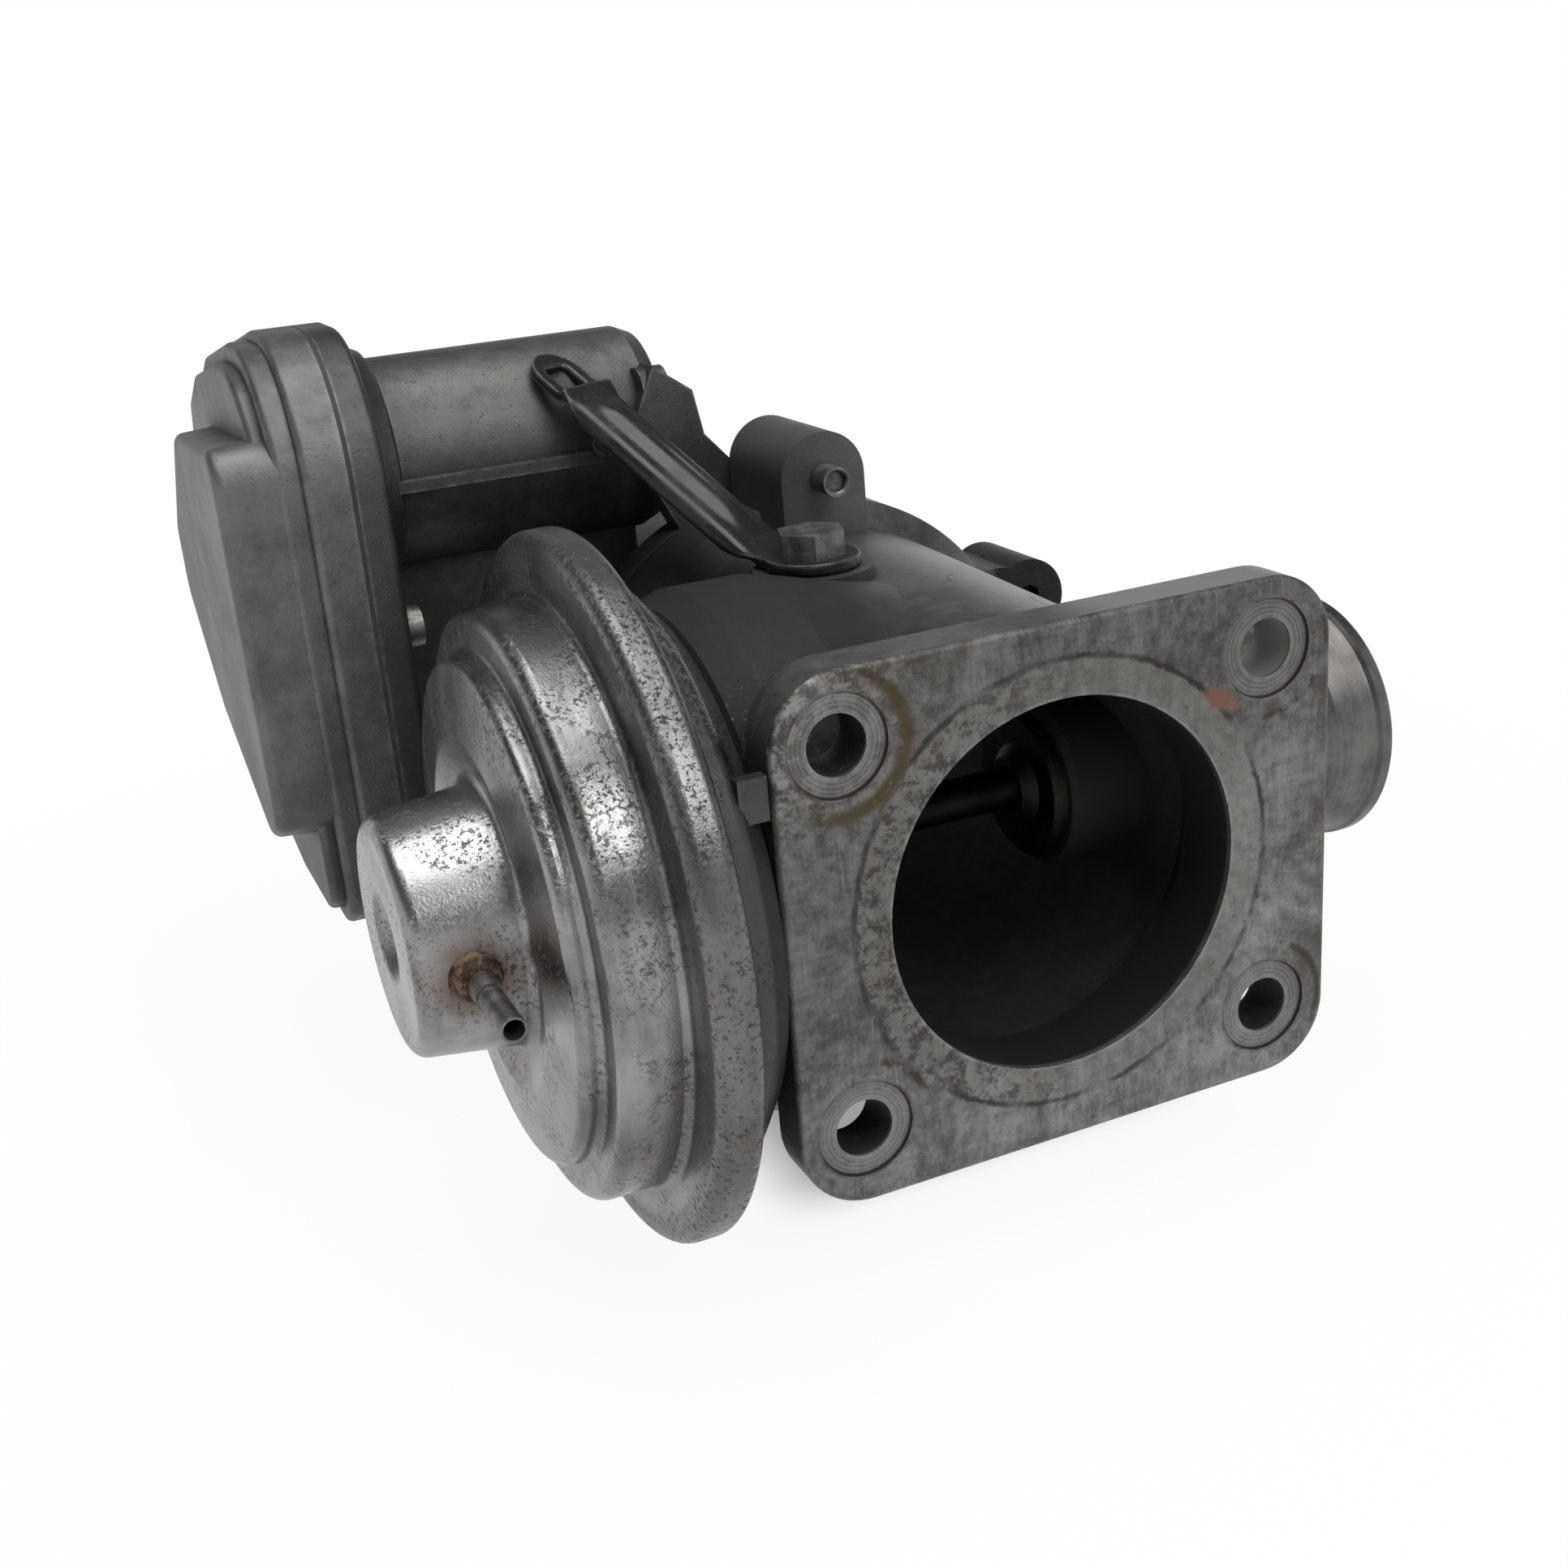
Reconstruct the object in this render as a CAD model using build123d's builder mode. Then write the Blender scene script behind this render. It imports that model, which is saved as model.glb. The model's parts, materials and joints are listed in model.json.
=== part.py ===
"""EGR valve with vacuum actuator and motor-driven intake throttle.

Frame: origin at the centre of the duct bore in the manifold flange face, +Y along the duct away
from the manifold, +X towards the exhaust gas inlet, +Z up. All lengths are millimetres.
"""

import os
from math import acos, atan2, cos, degrees, pi, radians, sin, sqrt, tan

from build123d import *

os.makedirs("parts", exist_ok=True)

# ---------------------------------------------------------------- driving dimensions
# manifold flange
flange_left = 45.0
flange_right = 46.8
flange_top = 39.9
flange_bottom = 41.5
flange_thickness = 9.0
flange_corner = 11.0
flange_edge_rounding = 1.0
flange_hole_pitch_x = 70.0
flange_hole_pitch_z = 58.6
flange_hole_diameter = 9.0
spot_face_diameter = 15.2
spot_face_depth = 0.4

# duct
duct_bore = 57.5
duct_cast_bore = 62.5
duct_mouth_length = 12.0
duct_wall_front = 5.6
duct_wall_rear = 7.4
collar_front = 86.0
collar_radius = 43.0
joint_y = 98.0
seal_section = 2.6
seal_ring_radius = 35.5

# valve axis and drum that carries the actuator
valve_y = 40.0
drum_radius = 42.0
drum_set_back = 3.0
drum_end_x = -45.3
drum_shoulder = 7.0
drum_cone_start_x = -26.0
drum_cone_end_x = -1.0
drum_cone_end_radius = 36.5
drum_pocket_inner = 12.0
drum_pocket_outer = 33.0
drum_pocket_depth = 8.0
drum_boss_radius = 10.0
drum_boss_height = 2.4

# valve train
stem_diameter = 7.0
stem_end_diameter = 5.0
guide_outer_diameter = 14.0
guide_inner_end_x = -26.5
running_clearance = 0.05
seat_x = 17.5
disc_radius = 12.5
disc_thickness = 2.2
seat_tube_outer = 29.0
seat_tube_inner = 23.0
seat_tube_end_x = 55.0

# gas inlet
inlet_boss_radius = 20.0
inlet_boss_end_x = 59.0
inlet_pipe_outer = 35.0
inlet_pipe_inner = 30.0
inlet_end_x = 77.0
inlet_lip_radius = 21.5
inlet_lip_x = 73.0
inlet_lip_width = 2.4
inlet_cone_length = 6.0

# actuator can
can_sheet = 1.2
can_base_sheet = 1.5
can_lip_width = 8.7
can_rim_front_x = -61.5
can_rim_rear_x = -54.6
can_wall_radius = 45.3
can_shoulder_x = -71.6
can_ring_radius = 38.8
can_ring_x = -75.0
can_face_radius = 27.0
can_face_x = -76.2
cup_root_x = -74.4
cup_root_radius = 20.2
cup_end_x = -91.4
cup_end_radius = 18.0
cup_recess_radius = 7.0
cup_recess_depth = 2.0
base_bowl_radius = 46.2
base_bowl_x = -49.6
base_floor_radius = 41.0
diaphragm_sheet = 1.0
diaphragm_plate_radius = 32.0
diaphragm_plate_sheet = 1.2
lower_washer_radius = 14.0
lower_washer_thickness = 1.4
stem_nut_radius = 5.5
stem_nut_height = 3.6
spring_radius = 13.0
spring_wire = 2.4
spring_turns = 5
can_screw_circle = 23.0
can_screw_count = 3
can_screw_thread = 5.0
can_screw_head = 8.5
can_screw_head_height = 2.4
can_screw_length = 12.0
can_tab_height = 6.4
can_tab_z = 24.1
can_tab_sheet = 2.0

# vacuum nipple
nipple_outer = 4.4
nipple_inner = 3.0
nipple_x = -83.0
nipple_z = -0.5
nipple_end_y = 2.8
nipple_free_length = 11.0
nipple_swage = 0.35
nipple_collar_diameter = 7.0
nipple_collar_length = 2.6

# bracket boss and lug on the valve housing
bolt_x = -12.5
bolt_y = 54.0
bolt_boss_radius = 9.8
bolt_boss_top = 39.5
bolt_thread = 6.0
bolt_hex = 10.0
bolt_head_height = 4.0
bolt_length = 18.0
lug_z = 48.8
lug_radius = 7.8
lug_front_y = 75.0
pin_outer = 5.0
pin_inner = 3.5
pin_reach = 5.5
pin_depth = 9.0

# throttle housing
throttle_y = 122.0
throttle_bore = 58.0
throttle_wall = 6.0
throttle_flange_thickness = 6.5
throttle_body_end = 151.0
spigot_wall = 3.2
spigot_end = 168.0
spigot_lead_in = 1.0
joint_ear_radius = 7.5
joint_ear_circle = 49.0
joint_ear_angles = (20.0, 160.0, 270.0)
joint_screw_thread = 5.0
joint_screw_head = 9.0
joint_screw_head_height = 4.5
joint_screw_length = 20.0
shaft_diameter = 10.0
flap_clearance = 0.4
flap_thickness = 2.0
flap_screw_thread = 4.0
flap_screw_head = 6.4
flap_screw_pitch = 26.0
shaft_boss_radius = 13.0
far_boss_radius = 17.0
far_boss_end_x = 54.0
bearing_outer = 16.0
bearing_length = 9.0
end_cap_height = 5.0
end_cap_lip = 2.0

# gear case
case_floor_x = -71.0
case_part_x = -76.4
case_floor = 3.0
case_wall = 3.0
case_room = 3.6
case_rear_reach = 58.0
case_shoulder = 25.0
case_bottom_z = -22.0
case_corner = 6.9
cap_rear_reach = 42.0
cap_shoulder = 11.0
cap_bottom_z = -4.0
gasket_sheet = 0.8
cover_flange_x = -84.5
cover_deck_x = -88.5
cover_step_x = -91.0
cover_cap_x = -98.0
cover_wall = 2.4
cover_deck_inset = 1.5
cover_step_inset = 4.5
cover_rounding = 1.3
cap_rounding = 1.8
cap_draft_angle = 4.0
case_screw_thread = 4.0
case_screw_head = 7.0
case_screw_head_height = 3.0
case_screw_length = 14.0
case_screw_inset = 6.5
case_mid_screw_z = 31.0

# motor
motor_y = 118.0
motor_z = 55.0
motor_barrel_radius = 18.3
motor_barrel_end_x = -16.5
barrel_end_rounding = 4.0
barrel_collar_end_x = -67.0
barrel_collar_step = 1.5
barrel_collar_flare = 3.5
motor_can_radius = 15.4
motor_can_clearance = 0.3
motor_can_length = 45.0
motor_shaft_diameter = 3.0
motor_plate_thickness = 2.0
motor_plate_radius = 18.5
motor_screw_thread = 3.0
motor_screw_circle = 17.2
motor_screw_length = 6.0
barrel_lip = 2.2
barrel_lip_reach = 1.6
barrel_end_wall = 3.0
barrel_nub_x = -31.0
barrel_nub_z = 56.3
barrel_nub_radius = 2.3
barrel_web_start_x = -58.0
barrel_web_end_x = -22.0
barrel_web_front_y = 112.0
barrel_web_thickness = 12.0
gusset_end_x = -4.0

# gear train
gear_module = 1.0
pressure_angle = 25.0
addendum = 0.9
backlash = 0.2
tip_clearance = 0.25
pinion_teeth = 10
idler_wheel_teeth = 38
idler_pinion_teeth = 12
sector_teeth = 52
sector_cut_teeth = 16
sector_lead_teeth = 2
sector_hub_radius = 8.5
sector_x = -84.0
sector_width = 5.0
wheel_x = -92.0
wheel_width = 4.5
idler_pin_diameter = 5.0
idler_pinion_x = -84.5
idler_pinion_width = 6.0
idler_hub_radius = 4.6

# support bracket
bracket_sheet = 2.0
bracket_width = 13.0
bracket_eye_radius = 7.8
bracket_bearing = 115.5
bracket_bend_run = 8.5
bracket_slope_run = 49.5
bracket_slope_rise = 25.5
bracket_end_run = 58.0
bracket_end_rise = 33.0
bracket_end_radius = 6.0
bracket_slot = 5.6
bracket_bead_width = 5.0
bracket_bead_length = 30.0
bracket_bead_height = 1.0

# ---------------------------------------------------------------- derived values
duct_front_radius = duct_cast_bore / 2 + duct_wall_front
duct_rear_radius = duct_cast_bore / 2 + duct_wall_rear
throttle_radius = throttle_bore / 2 + throttle_wall
valve_plane = Plane(origin=(0, valve_y, 0))
valve_axis = Axis((0, valve_y, 0), (1, 0, 0))
shaft_axis = Axis((0, throttle_y, 0), (1, 0, 0))


def across(x):
    """Plane square to the X axis at x, with local coordinates (Y, Z)."""
    return Plane.YZ.offset(x)


def along(y):
    """Plane square to the duct at y, with local coordinates (X, Z), facing the manifold."""
    return Plane.XZ.offset(-y)


def turn(points, plane, axis, mode=Mode.ADD):
    """Turn a closed outline about an axis."""
    with BuildSketch(plane) as outline:
        with BuildLine():
            Polyline(*points, close=True)
        make_face()
    revolve(outline.sketch, axis=axis, mode=mode)


def turn_sheet(points, bend, sheet, plane, axis):
    """Turn a bent sheet about an axis. Its outline is one face; the sheet lies to the left of it."""
    with BuildSketch(plane) as outline:
        with BuildLine():
            FilletPolyline(*points, radius=bend)
            offset(amount=sheet, side=Side.LEFT)
        make_face()
    revolve(outline.sketch, axis=axis)


def rod_x(x_start, x_end, radius, y, z, mode=Mode.ADD):
    """Round bar or hole parallel to X."""
    with BuildSketch(across(x_end)) as section:
        with Locations((y, z)):
            Circle(radius)
    extrude(section.sketch, amount=x_start - x_end, mode=mode)


def rod_y(y_start, y_end, radius, x, z, mode=Mode.ADD):
    """Round bar or hole parallel to the duct."""
    with BuildSketch(along(y_end)) as section:
        with Locations((x, z)):
            Circle(radius)
    extrude(section.sketch, amount=y_end - y_start, mode=mode)


def save(part, label):
    """Label a finished piece and write it as its own file."""
    part.part.label = label
    export_step(part.part, f"parts/{label}.step")


# ---------------------------------------------------------------- valve housing
def joint_ear_points(radius):
    """Centres of the joint ears in (X, Z)."""
    return [(radius * cos(radians(a)), radius * sin(radians(a))) for a in joint_ear_angles]


with BuildPart() as valve_housing:
    # manifold flange
    with BuildSketch(along(flange_thickness)):
        with Locations(((flange_right - flange_left) / 2, (flange_top - flange_bottom) / 2)):
            RectangleRounded(flange_left + flange_right, flange_top + flange_bottom, flange_corner)
    extrude(amount=flange_thickness)
    fillet(valve_housing.faces().sort_by(Axis.Y)[0].edges(), flange_edge_rounding)
    fillet(valve_housing.faces().sort_by(Axis.Y)[-1].edges(), flange_edge_rounding)
    # duct wall and rear collar
    turn(
        [
            (0, flange_thickness / 2),
            (duct_front_radius + 2.5, flange_thickness / 2),
            (duct_front_radius + 2.5, flange_thickness),
            (duct_front_radius, flange_thickness + 2.5),
            (duct_rear_radius, collar_front - 4),
            (collar_radius, collar_front),
            (collar_radius, joint_y),
            (0, joint_y),
        ],
        Plane.XY,
        Axis.Y,
    )
    # drum under the actuator, set back so that it stays behind the flange face
    turn(
        [
            (drum_end_x, 0),
            (drum_end_x, drum_radius - drum_shoulder),
            (drum_end_x + drum_shoulder * 0.3, drum_radius - drum_shoulder * 0.3),
            (drum_end_x + drum_shoulder, drum_radius),
            (drum_cone_start_x, drum_radius),
            (drum_cone_end_x, drum_cone_end_radius),
            (drum_cone_end_x, 0),
        ],
        Plane(origin=(0, valve_y + drum_set_back, 0)),
        Axis((0, valve_y + drum_set_back, 0), (1, 0, 0)),
    )
    # central boss that carries the stem guide, and the inlet boss
    rod_x(drum_end_x - drum_boss_height, 0, drum_boss_radius, valve_y, 0)
    rod_x(0, inlet_boss_end_x, inlet_boss_radius, valve_y, 0)
    # boss under the bracket bolt
    with BuildSketch(Plane.XY.offset(duct_cast_bore / 2 - 8)):
        with Locations((bolt_x, bolt_y)):
            Circle(bolt_boss_radius)
    extrude(amount=bolt_boss_top - duct_cast_bore / 2 + 8)
    # spot face of that boss, cut into the side of the drum
    with BuildSketch(Plane.XY.offset(bolt_boss_top)):
        with Locations((bolt_x, bolt_y)):
            Circle(bolt_boss_radius)
    extrude(amount=drum_radius, mode=Mode.SUBTRACT)
    # lug for the locating pin
    with BuildSketch(along(joint_y)):
        with Locations((0, lug_z)):
            Circle(lug_radius)
        with Locations((0, (lug_z + duct_cast_bore / 2) / 2)):
            Rectangle(2 * lug_radius, lug_z - duct_cast_bore / 2)
    extrude(amount=joint_y - lug_front_y)
    # ears for the throttle housing screws
    with BuildSketch(along(joint_y)):
        for x, z in joint_ear_points(joint_ear_circle):
            with Locations((x, z)):
                Circle(joint_ear_radius)
            with Locations((x * 0.85, z * 0.85)):
                Circle(joint_ear_radius + 2)
    extrude(amount=joint_y - collar_front)
    # duct passage
    turn(
        [
            (0, -1),
            (duct_bore / 2, -1),
            (duct_bore / 2, duct_mouth_length),
            (duct_cast_bore / 2, duct_mouth_length + 4),
            (duct_cast_bore / 2, joint_y + 1),
            (0, joint_y + 1),
        ],
        Plane.XY,
        Axis.Y,
        Mode.SUBTRACT,
    )
    # flange holes with spot faces
    with BuildSketch(along(flange_thickness)):
        with GridLocations(flange_hole_pitch_x, flange_hole_pitch_z, 2, 2):
            Circle(flange_hole_diameter / 2)
    extrude(amount=flange_thickness, mode=Mode.SUBTRACT)
    with BuildSketch(along(0)):
        with GridLocations(flange_hole_pitch_x, flange_hole_pitch_z, 2, 2):
            Circle(spot_face_diameter / 2)
    extrude(amount=-spot_face_depth, mode=Mode.SUBTRACT)
    # pocket in the drum, with three screw pads left standing
    with BuildSketch(across(drum_end_x)):
        with Locations((valve_y, 0)):
            Circle(drum_pocket_outer)
            Circle(drum_pocket_inner, mode=Mode.SUBTRACT)
            with PolarLocations(can_screw_circle, can_screw_count, start_angle=90):
                Circle(can_screw_thread + 2, mode=Mode.SUBTRACT)
                Rectangle(can_screw_circle, 4, mode=Mode.SUBTRACT)
    extrude(amount=drum_pocket_depth, mode=Mode.SUBTRACT)
    with BuildSketch(across(drum_end_x)):
        with Locations((valve_y, 0)):
            with PolarLocations(can_screw_circle, can_screw_count, start_angle=90):
                Circle(can_screw_thread / 2)
    extrude(amount=can_screw_length - can_base_sheet, mode=Mode.SUBTRACT)
    # guide bore, gas bore, thread for the bracket bolt, pin bore and joint threads
    rod_x(drum_end_x - drum_boss_height, 0, guide_outer_diameter / 2, valve_y, 0, Mode.SUBTRACT)
    rod_x(0, inlet_boss_end_x, seat_tube_outer / 2, valve_y, 0, Mode.SUBTRACT)
    rod_x(seat_tube_end_x, inlet_boss_end_x, inlet_pipe_outer / 2, valve_y, 0, Mode.SUBTRACT)
    with BuildSketch(Plane.XY.offset(bolt_boss_top)):
        with Locations((bolt_x, bolt_y)):
            Circle(bolt_thread / 2)
    extrude(amount=bracket_sheet - bolt_length, mode=Mode.SUBTRACT)
    rod_y(lug_front_y, lug_front_y + pin_depth, pin_outer / 2, 0, lug_z, Mode.SUBTRACT)
    for x, z in joint_ear_points(joint_ear_circle):
        rod_y(collar_front, joint_y, joint_screw_thread / 2, x, z, Mode.SUBTRACT)
    # groove for the joint seal
    turn(
        [
            (seal_ring_radius - seal_section / 2, joint_y),
            (seal_ring_radius + seal_section / 2, joint_y),
            (seal_ring_radius + seal_section / 2, joint_y - seal_section),
            (seal_ring_radius - seal_section / 2, joint_y - seal_section),
        ],
        Plane.XY,
        Axis.Y,
        Mode.SUBTRACT,
    )
save(valve_housing, "valve_housing")


with BuildPart() as joint_seal:
    with BuildSketch(Plane.XY):
        with Locations((seal_ring_radius, joint_y - seal_section / 2)):
            Circle(seal_section / 2 - 0.05)
    revolve(axis=Axis.Y)
save(joint_seal, "joint_seal")

# ---------------------------------------------------------------- actuator can
can_inner_front_x = can_rim_front_x + can_sheet
can_base_flange_x = can_rim_rear_x - can_sheet
diaphragm_edge_x = can_base_flange_x - can_base_sheet
can_rim_radius = base_bowl_radius + can_lip_width
base_rim_radius = can_rim_radius - can_sheet - 0.8

with BuildPart() as actuator_cap:
    turn_sheet(
        [
            (can_rim_rear_x, base_bowl_radius + 3.2),
            (can_rim_rear_x, can_rim_radius),
            (can_rim_front_x, can_rim_radius),
            (can_rim_front_x, can_wall_radius),
            (can_shoulder_x, can_wall_radius),
            (can_shoulder_x, can_ring_radius),
            (can_ring_x, can_ring_radius),
            (can_face_x, can_face_radius),
            (cup_root_x, cup_root_radius),
            (cup_end_x, cup_end_radius),
            (cup_end_x, cup_recess_radius),
            (cup_end_x + cup_recess_depth, cup_recess_radius - 2),
            (cup_end_x + cup_recess_depth, 0),
        ],
        [1.8, 2.4, 1.3, 2.2, 1.2, 1.6, 1.6, 1.6, 2.4, 1.0, 1.0],
        can_sheet,
        valve_plane,
        valve_axis,
    )
    # port for the nipple
    rod_y(valve_y - cup_root_radius - 1, valve_y, nipple_outer / 2, nipple_x, nipple_z, Mode.SUBTRACT)
save(actuator_cap, "actuator_cap")

with BuildPart() as actuator_base:
    turn_sheet(
        [
            (drum_end_x, drum_boss_radius + 0.3),
            (drum_end_x, base_floor_radius),
            (base_bowl_x, base_bowl_radius),
            (can_base_flange_x, base_bowl_radius + 1),
            (can_base_flange_x, base_rim_radius),
        ],
        [2.5, 2.5, 1.0],
        can_base_sheet,
        valve_plane,
        valve_axis,
    )
    with BuildSketch(across(drum_end_x)):
        with Locations((valve_y, 0)):
            with PolarLocations(can_screw_circle, can_screw_count, start_angle=90):
                Circle(can_screw_thread / 2 + 0.2)
    extrude(amount=-can_base_sheet - 1, mode=Mode.SUBTRACT)
    # tab that keeps the can from turning against the flange edge
    tab_y = valve_y - sqrt(base_bowl_radius**2 - can_tab_z**2)
    with BuildSketch(along(tab_y + can_tab_sheet)):
        with Locations(((base_bowl_x - flange_left - 0.3) / 2, can_tab_z)):
            Rectangle(-base_bowl_x - flange_left - 0.3, can_tab_height)
    extrude(amount=can_tab_sheet)
save(actuator_base, "actuator_base")

with BuildPart() as can_screws:
    for k in range(can_screw_count):
        angle = radians(90 + 360 / can_screw_count * k)
        y = valve_y + can_screw_circle * cos(angle)
        z = can_screw_circle * sin(angle)
        head_x = drum_end_x - can_base_sheet
        rod_x(head_x, head_x + can_screw_length - 0.3, can_screw_thread / 2, y, z)
        rod_x(head_x - can_screw_head_height, head_x, can_screw_head / 2, y, z)
        with BuildSketch(across(head_x - can_screw_head_height)):
            with Locations((y, z)):
                RegularPolygon(can_screw_head / 4, 6)
        extrude(amount=can_screw_head_height * 0.7, mode=Mode.SUBTRACT)
save(can_screws, "can_screws")

# ---------------------------------------------------------------- diaphragm, plates and spring
stack_x = drum_end_x - can_base_sheet - can_screw_head_height - 0.6
washer_front_x = stack_x - lower_washer_thickness
plate_back_x = washer_front_x - diaphragm_sheet
plate_front_x = plate_back_x - diaphragm_plate_sheet
convolution_x = (stack_x + diaphragm_edge_x) / 2

with BuildPart() as diaphragm:
    turn_sheet(
        [
            (washer_front_x, stem_end_diameter / 2 + 0.1),
            (washer_front_x, diaphragm_plate_radius + 1),
            (convolution_x, diaphragm_plate_radius + 4),
            (convolution_x, base_bowl_radius - 4),
            (diaphragm_edge_x, base_bowl_radius - 1.5),
            (diaphragm_edge_x, base_rim_radius),
        ],
        [0.8, 1.5, 1.5, 0.8],
        diaphragm_sheet,
        valve_plane,
        valve_axis,
    )
    # bead clamped in the rim
    turn(
        [
            (diaphragm_edge_x, base_rim_radius - 4),
            (diaphragm_edge_x, base_rim_radius),
            (can_inner_front_x + 1, base_rim_radius),
            (can_inner_front_x, base_rim_radius - 1),
            (can_inner_front_x, base_rim_radius - 4),
        ],
        valve_plane,
        valve_axis,
    )
save(diaphragm, "diaphragm")

with BuildPart() as diaphragm_plate:
    turn_sheet(
        [
            (plate_back_x, stem_end_diameter / 2 + 0.1),
            (plate_back_x, diaphragm_plate_radius),
            (plate_back_x - 4, diaphragm_plate_radius + 1),
        ],
        [1.5],
        diaphragm_plate_sheet,
        valve_plane,
        valve_axis,
    )
save(diaphragm_plate, "diaphragm_plate")

with BuildPart() as lower_washer:
    rod_x(washer_front_x, stack_x, lower_washer_radius, valve_y, 0)
    rod_x(washer_front_x, stack_x, stem_end_diameter / 2, valve_y, 0, Mode.SUBTRACT)
    chamfer(lower_washer.edges().filter_by(GeomType.CIRCLE).sort_by(Axis.X)[-1], 0.4)
save(lower_washer, "lower_washer")

stem_tip_x = plate_front_x - stem_nut_height - 1.5

with BuildPart() as stem_nut:
    with BuildSketch(across(plate_front_x)):
        with Locations((valve_y, 0)):
            RegularPolygon(stem_nut_radius, 6)
            Circle(stem_end_diameter / 2, mode=Mode.SUBTRACT)
    extrude(amount=-stem_nut_height)
save(stem_nut, "stem_nut")

spring_front_x = cup_end_x + cup_recess_depth + can_sheet + 0.3
spring_length = plate_front_x - spring_front_x - spring_wire

with BuildPart() as actuator_spring:
    with BuildLine():
        coil = Helix(
            spring_length / spring_turns,
            spring_length,
            spring_radius,
            center=(spring_front_x + spring_wire / 2, valve_y, 0),
            direction=(1, 0, 0),
        )
    with BuildSketch(Plane(coil @ 0, z_dir=coil % 0)):
        Circle(spring_wire / 2)
    sweep(path=coil)
save(actuator_spring, "actuator_spring")

# ---------------------------------------------------------------- vacuum nipple
nipple_root_y = valve_y - cup_end_radius + 1.0

with BuildPart() as vacuum_nipple:
    nipple_shoulder_y = nipple_end_y + nipple_free_length
    rod_y(nipple_end_y, nipple_root_y, nipple_outer / 2 - nipple_swage, nipple_x, nipple_z)
    rod_y(nipple_shoulder_y, nipple_root_y, nipple_outer / 2 - 0.05, nipple_x, nipple_z)
    rod_y(nipple_end_y, nipple_root_y, nipple_inner / 2, nipple_x, nipple_z, Mode.SUBTRACT)
save(vacuum_nipple, "vacuum_nipple")

with BuildPart() as nipple_braze:
    braze_root_y = valve_y - cup_end_radius + 1
    with BuildSketch(along(braze_root_y)):
        with Locations((nipple_x, nipple_z)):
            Circle(nipple_collar_diameter / 2 + 1)
    extrude(amount=nipple_collar_length + 2, taper=18)
    rod_y(braze_root_y - 6, braze_root_y, nipple_outer / 2, nipple_x, nipple_z, Mode.SUBTRACT)
    # saddle that fits the cup wall
    turn(
        [(cup_root_x, 0), (cup_root_x, cup_root_radius), (cup_end_x, cup_end_radius), (cup_end_x, 0)],
        valve_plane,
        valve_axis,
        Mode.SUBTRACT,
    )
save(nipple_braze, "nipple_braze")

# ---------------------------------------------------------------- valve train
guide_outer_x = drum_end_x - drum_boss_height

with BuildPart() as stem_guide:
    rod_x(guide_outer_x, guide_inner_end_x, guide_outer_diameter / 2, valve_y, 0)
    rod_x(guide_outer_x, guide_inner_end_x, stem_diameter / 2 + running_clearance, valve_y, 0, Mode.SUBTRACT)
    chamfer(stem_guide.edges().filter_by(GeomType.CIRCLE).group_by(Axis.X)[-1], 1.0)
save(stem_guide, "stem_guide")

with BuildPart() as stem_seal:
    seal_depth = stack_x - guide_outer_x + 0.3
    rod_x(guide_outer_x + seal_depth, guide_outer_x, drum_boss_radius - 1, valve_y, 0)
    rod_x(
        guide_outer_x + seal_depth, guide_outer_x, stem_diameter / 2 + running_clearance, valve_y, 0,
        Mode.SUBTRACT,
    )
save(stem_seal, "stem_seal")

with BuildPart() as valve_stem:
    rod_x(stack_x, seat_x - disc_thickness, stem_diameter / 2, valve_y, 0)
    rod_x(stem_tip_x, stack_x, stem_end_diameter / 2, valve_y, 0)
    rod_x(seat_x - disc_thickness, seat_x + 2.5, stem_end_diameter / 2, valve_y, 0)
    chamfer(valve_stem.edges().filter_by(GeomType.CIRCLE).sort_by(Axis.X)[0], 0.6)
save(valve_stem, "valve_stem")

with BuildPart() as valve_disc:
    disc_back_x = seat_x - disc_thickness
    turn(
        [
            (disc_back_x - 2.0, stem_diameter / 2 + running_clearance),
            (disc_back_x - 2.0, stem_diameter / 2 + 1.5),
            (disc_back_x, stem_diameter / 2 + 3.5),
            (disc_back_x, disc_radius - 0.8),
            (disc_back_x + 0.8, disc_radius),
            (seat_x, disc_radius),
            (seat_x, seat_tube_inner / 2 - 0.1),
            (seat_x + 1.2, seat_tube_inner / 2 - 1.0),
            (seat_x + 1.2, stem_end_diameter / 2),
            (disc_back_x, stem_end_diameter / 2),
            (disc_back_x, stem_diameter / 2 + running_clearance),
        ],
        valve_plane,
        valve_axis,
    )
save(valve_disc, "valve_disc")

with BuildPart() as valve_seat:
    turn(
        [
            (seat_x, seat_tube_inner / 2),
            (seat_x, seat_tube_outer / 2 - 1.0),
            (seat_x + 1.0, seat_tube_outer / 2),
            (seat_tube_end_x, seat_tube_outer / 2),
            (seat_tube_end_x, seat_tube_inner / 2),
        ],
        valve_plane,
        valve_axis,
    )
save(valve_seat, "valve_seat")

with BuildPart() as gas_inlet:
    lip_back_x = inlet_lip_x - inlet_cone_length
    turn(
        [
            (seat_tube_end_x, inlet_pipe_inner / 2),
            (seat_tube_end_x, inlet_pipe_outer / 2),
            (lip_back_x - 1.5, inlet_pipe_outer / 2),
            (lip_back_x, inlet_pipe_outer / 2 + 1.0),
            (inlet_lip_x, inlet_lip_radius - 0.6),
            (inlet_lip_x + 0.6, inlet_lip_radius),
            (inlet_lip_x + inlet_lip_width, inlet_lip_radius),
            (inlet_lip_x + inlet_lip_width + 0.8, inlet_lip_radius - 0.8),
            (inlet_end_x, inlet_pipe_outer / 2 + 1.5),
            (inlet_end_x, inlet_pipe_inner / 2),
        ],
        valve_plane,
        valve_axis,
    )
save(gas_inlet, "gas_inlet")

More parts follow.
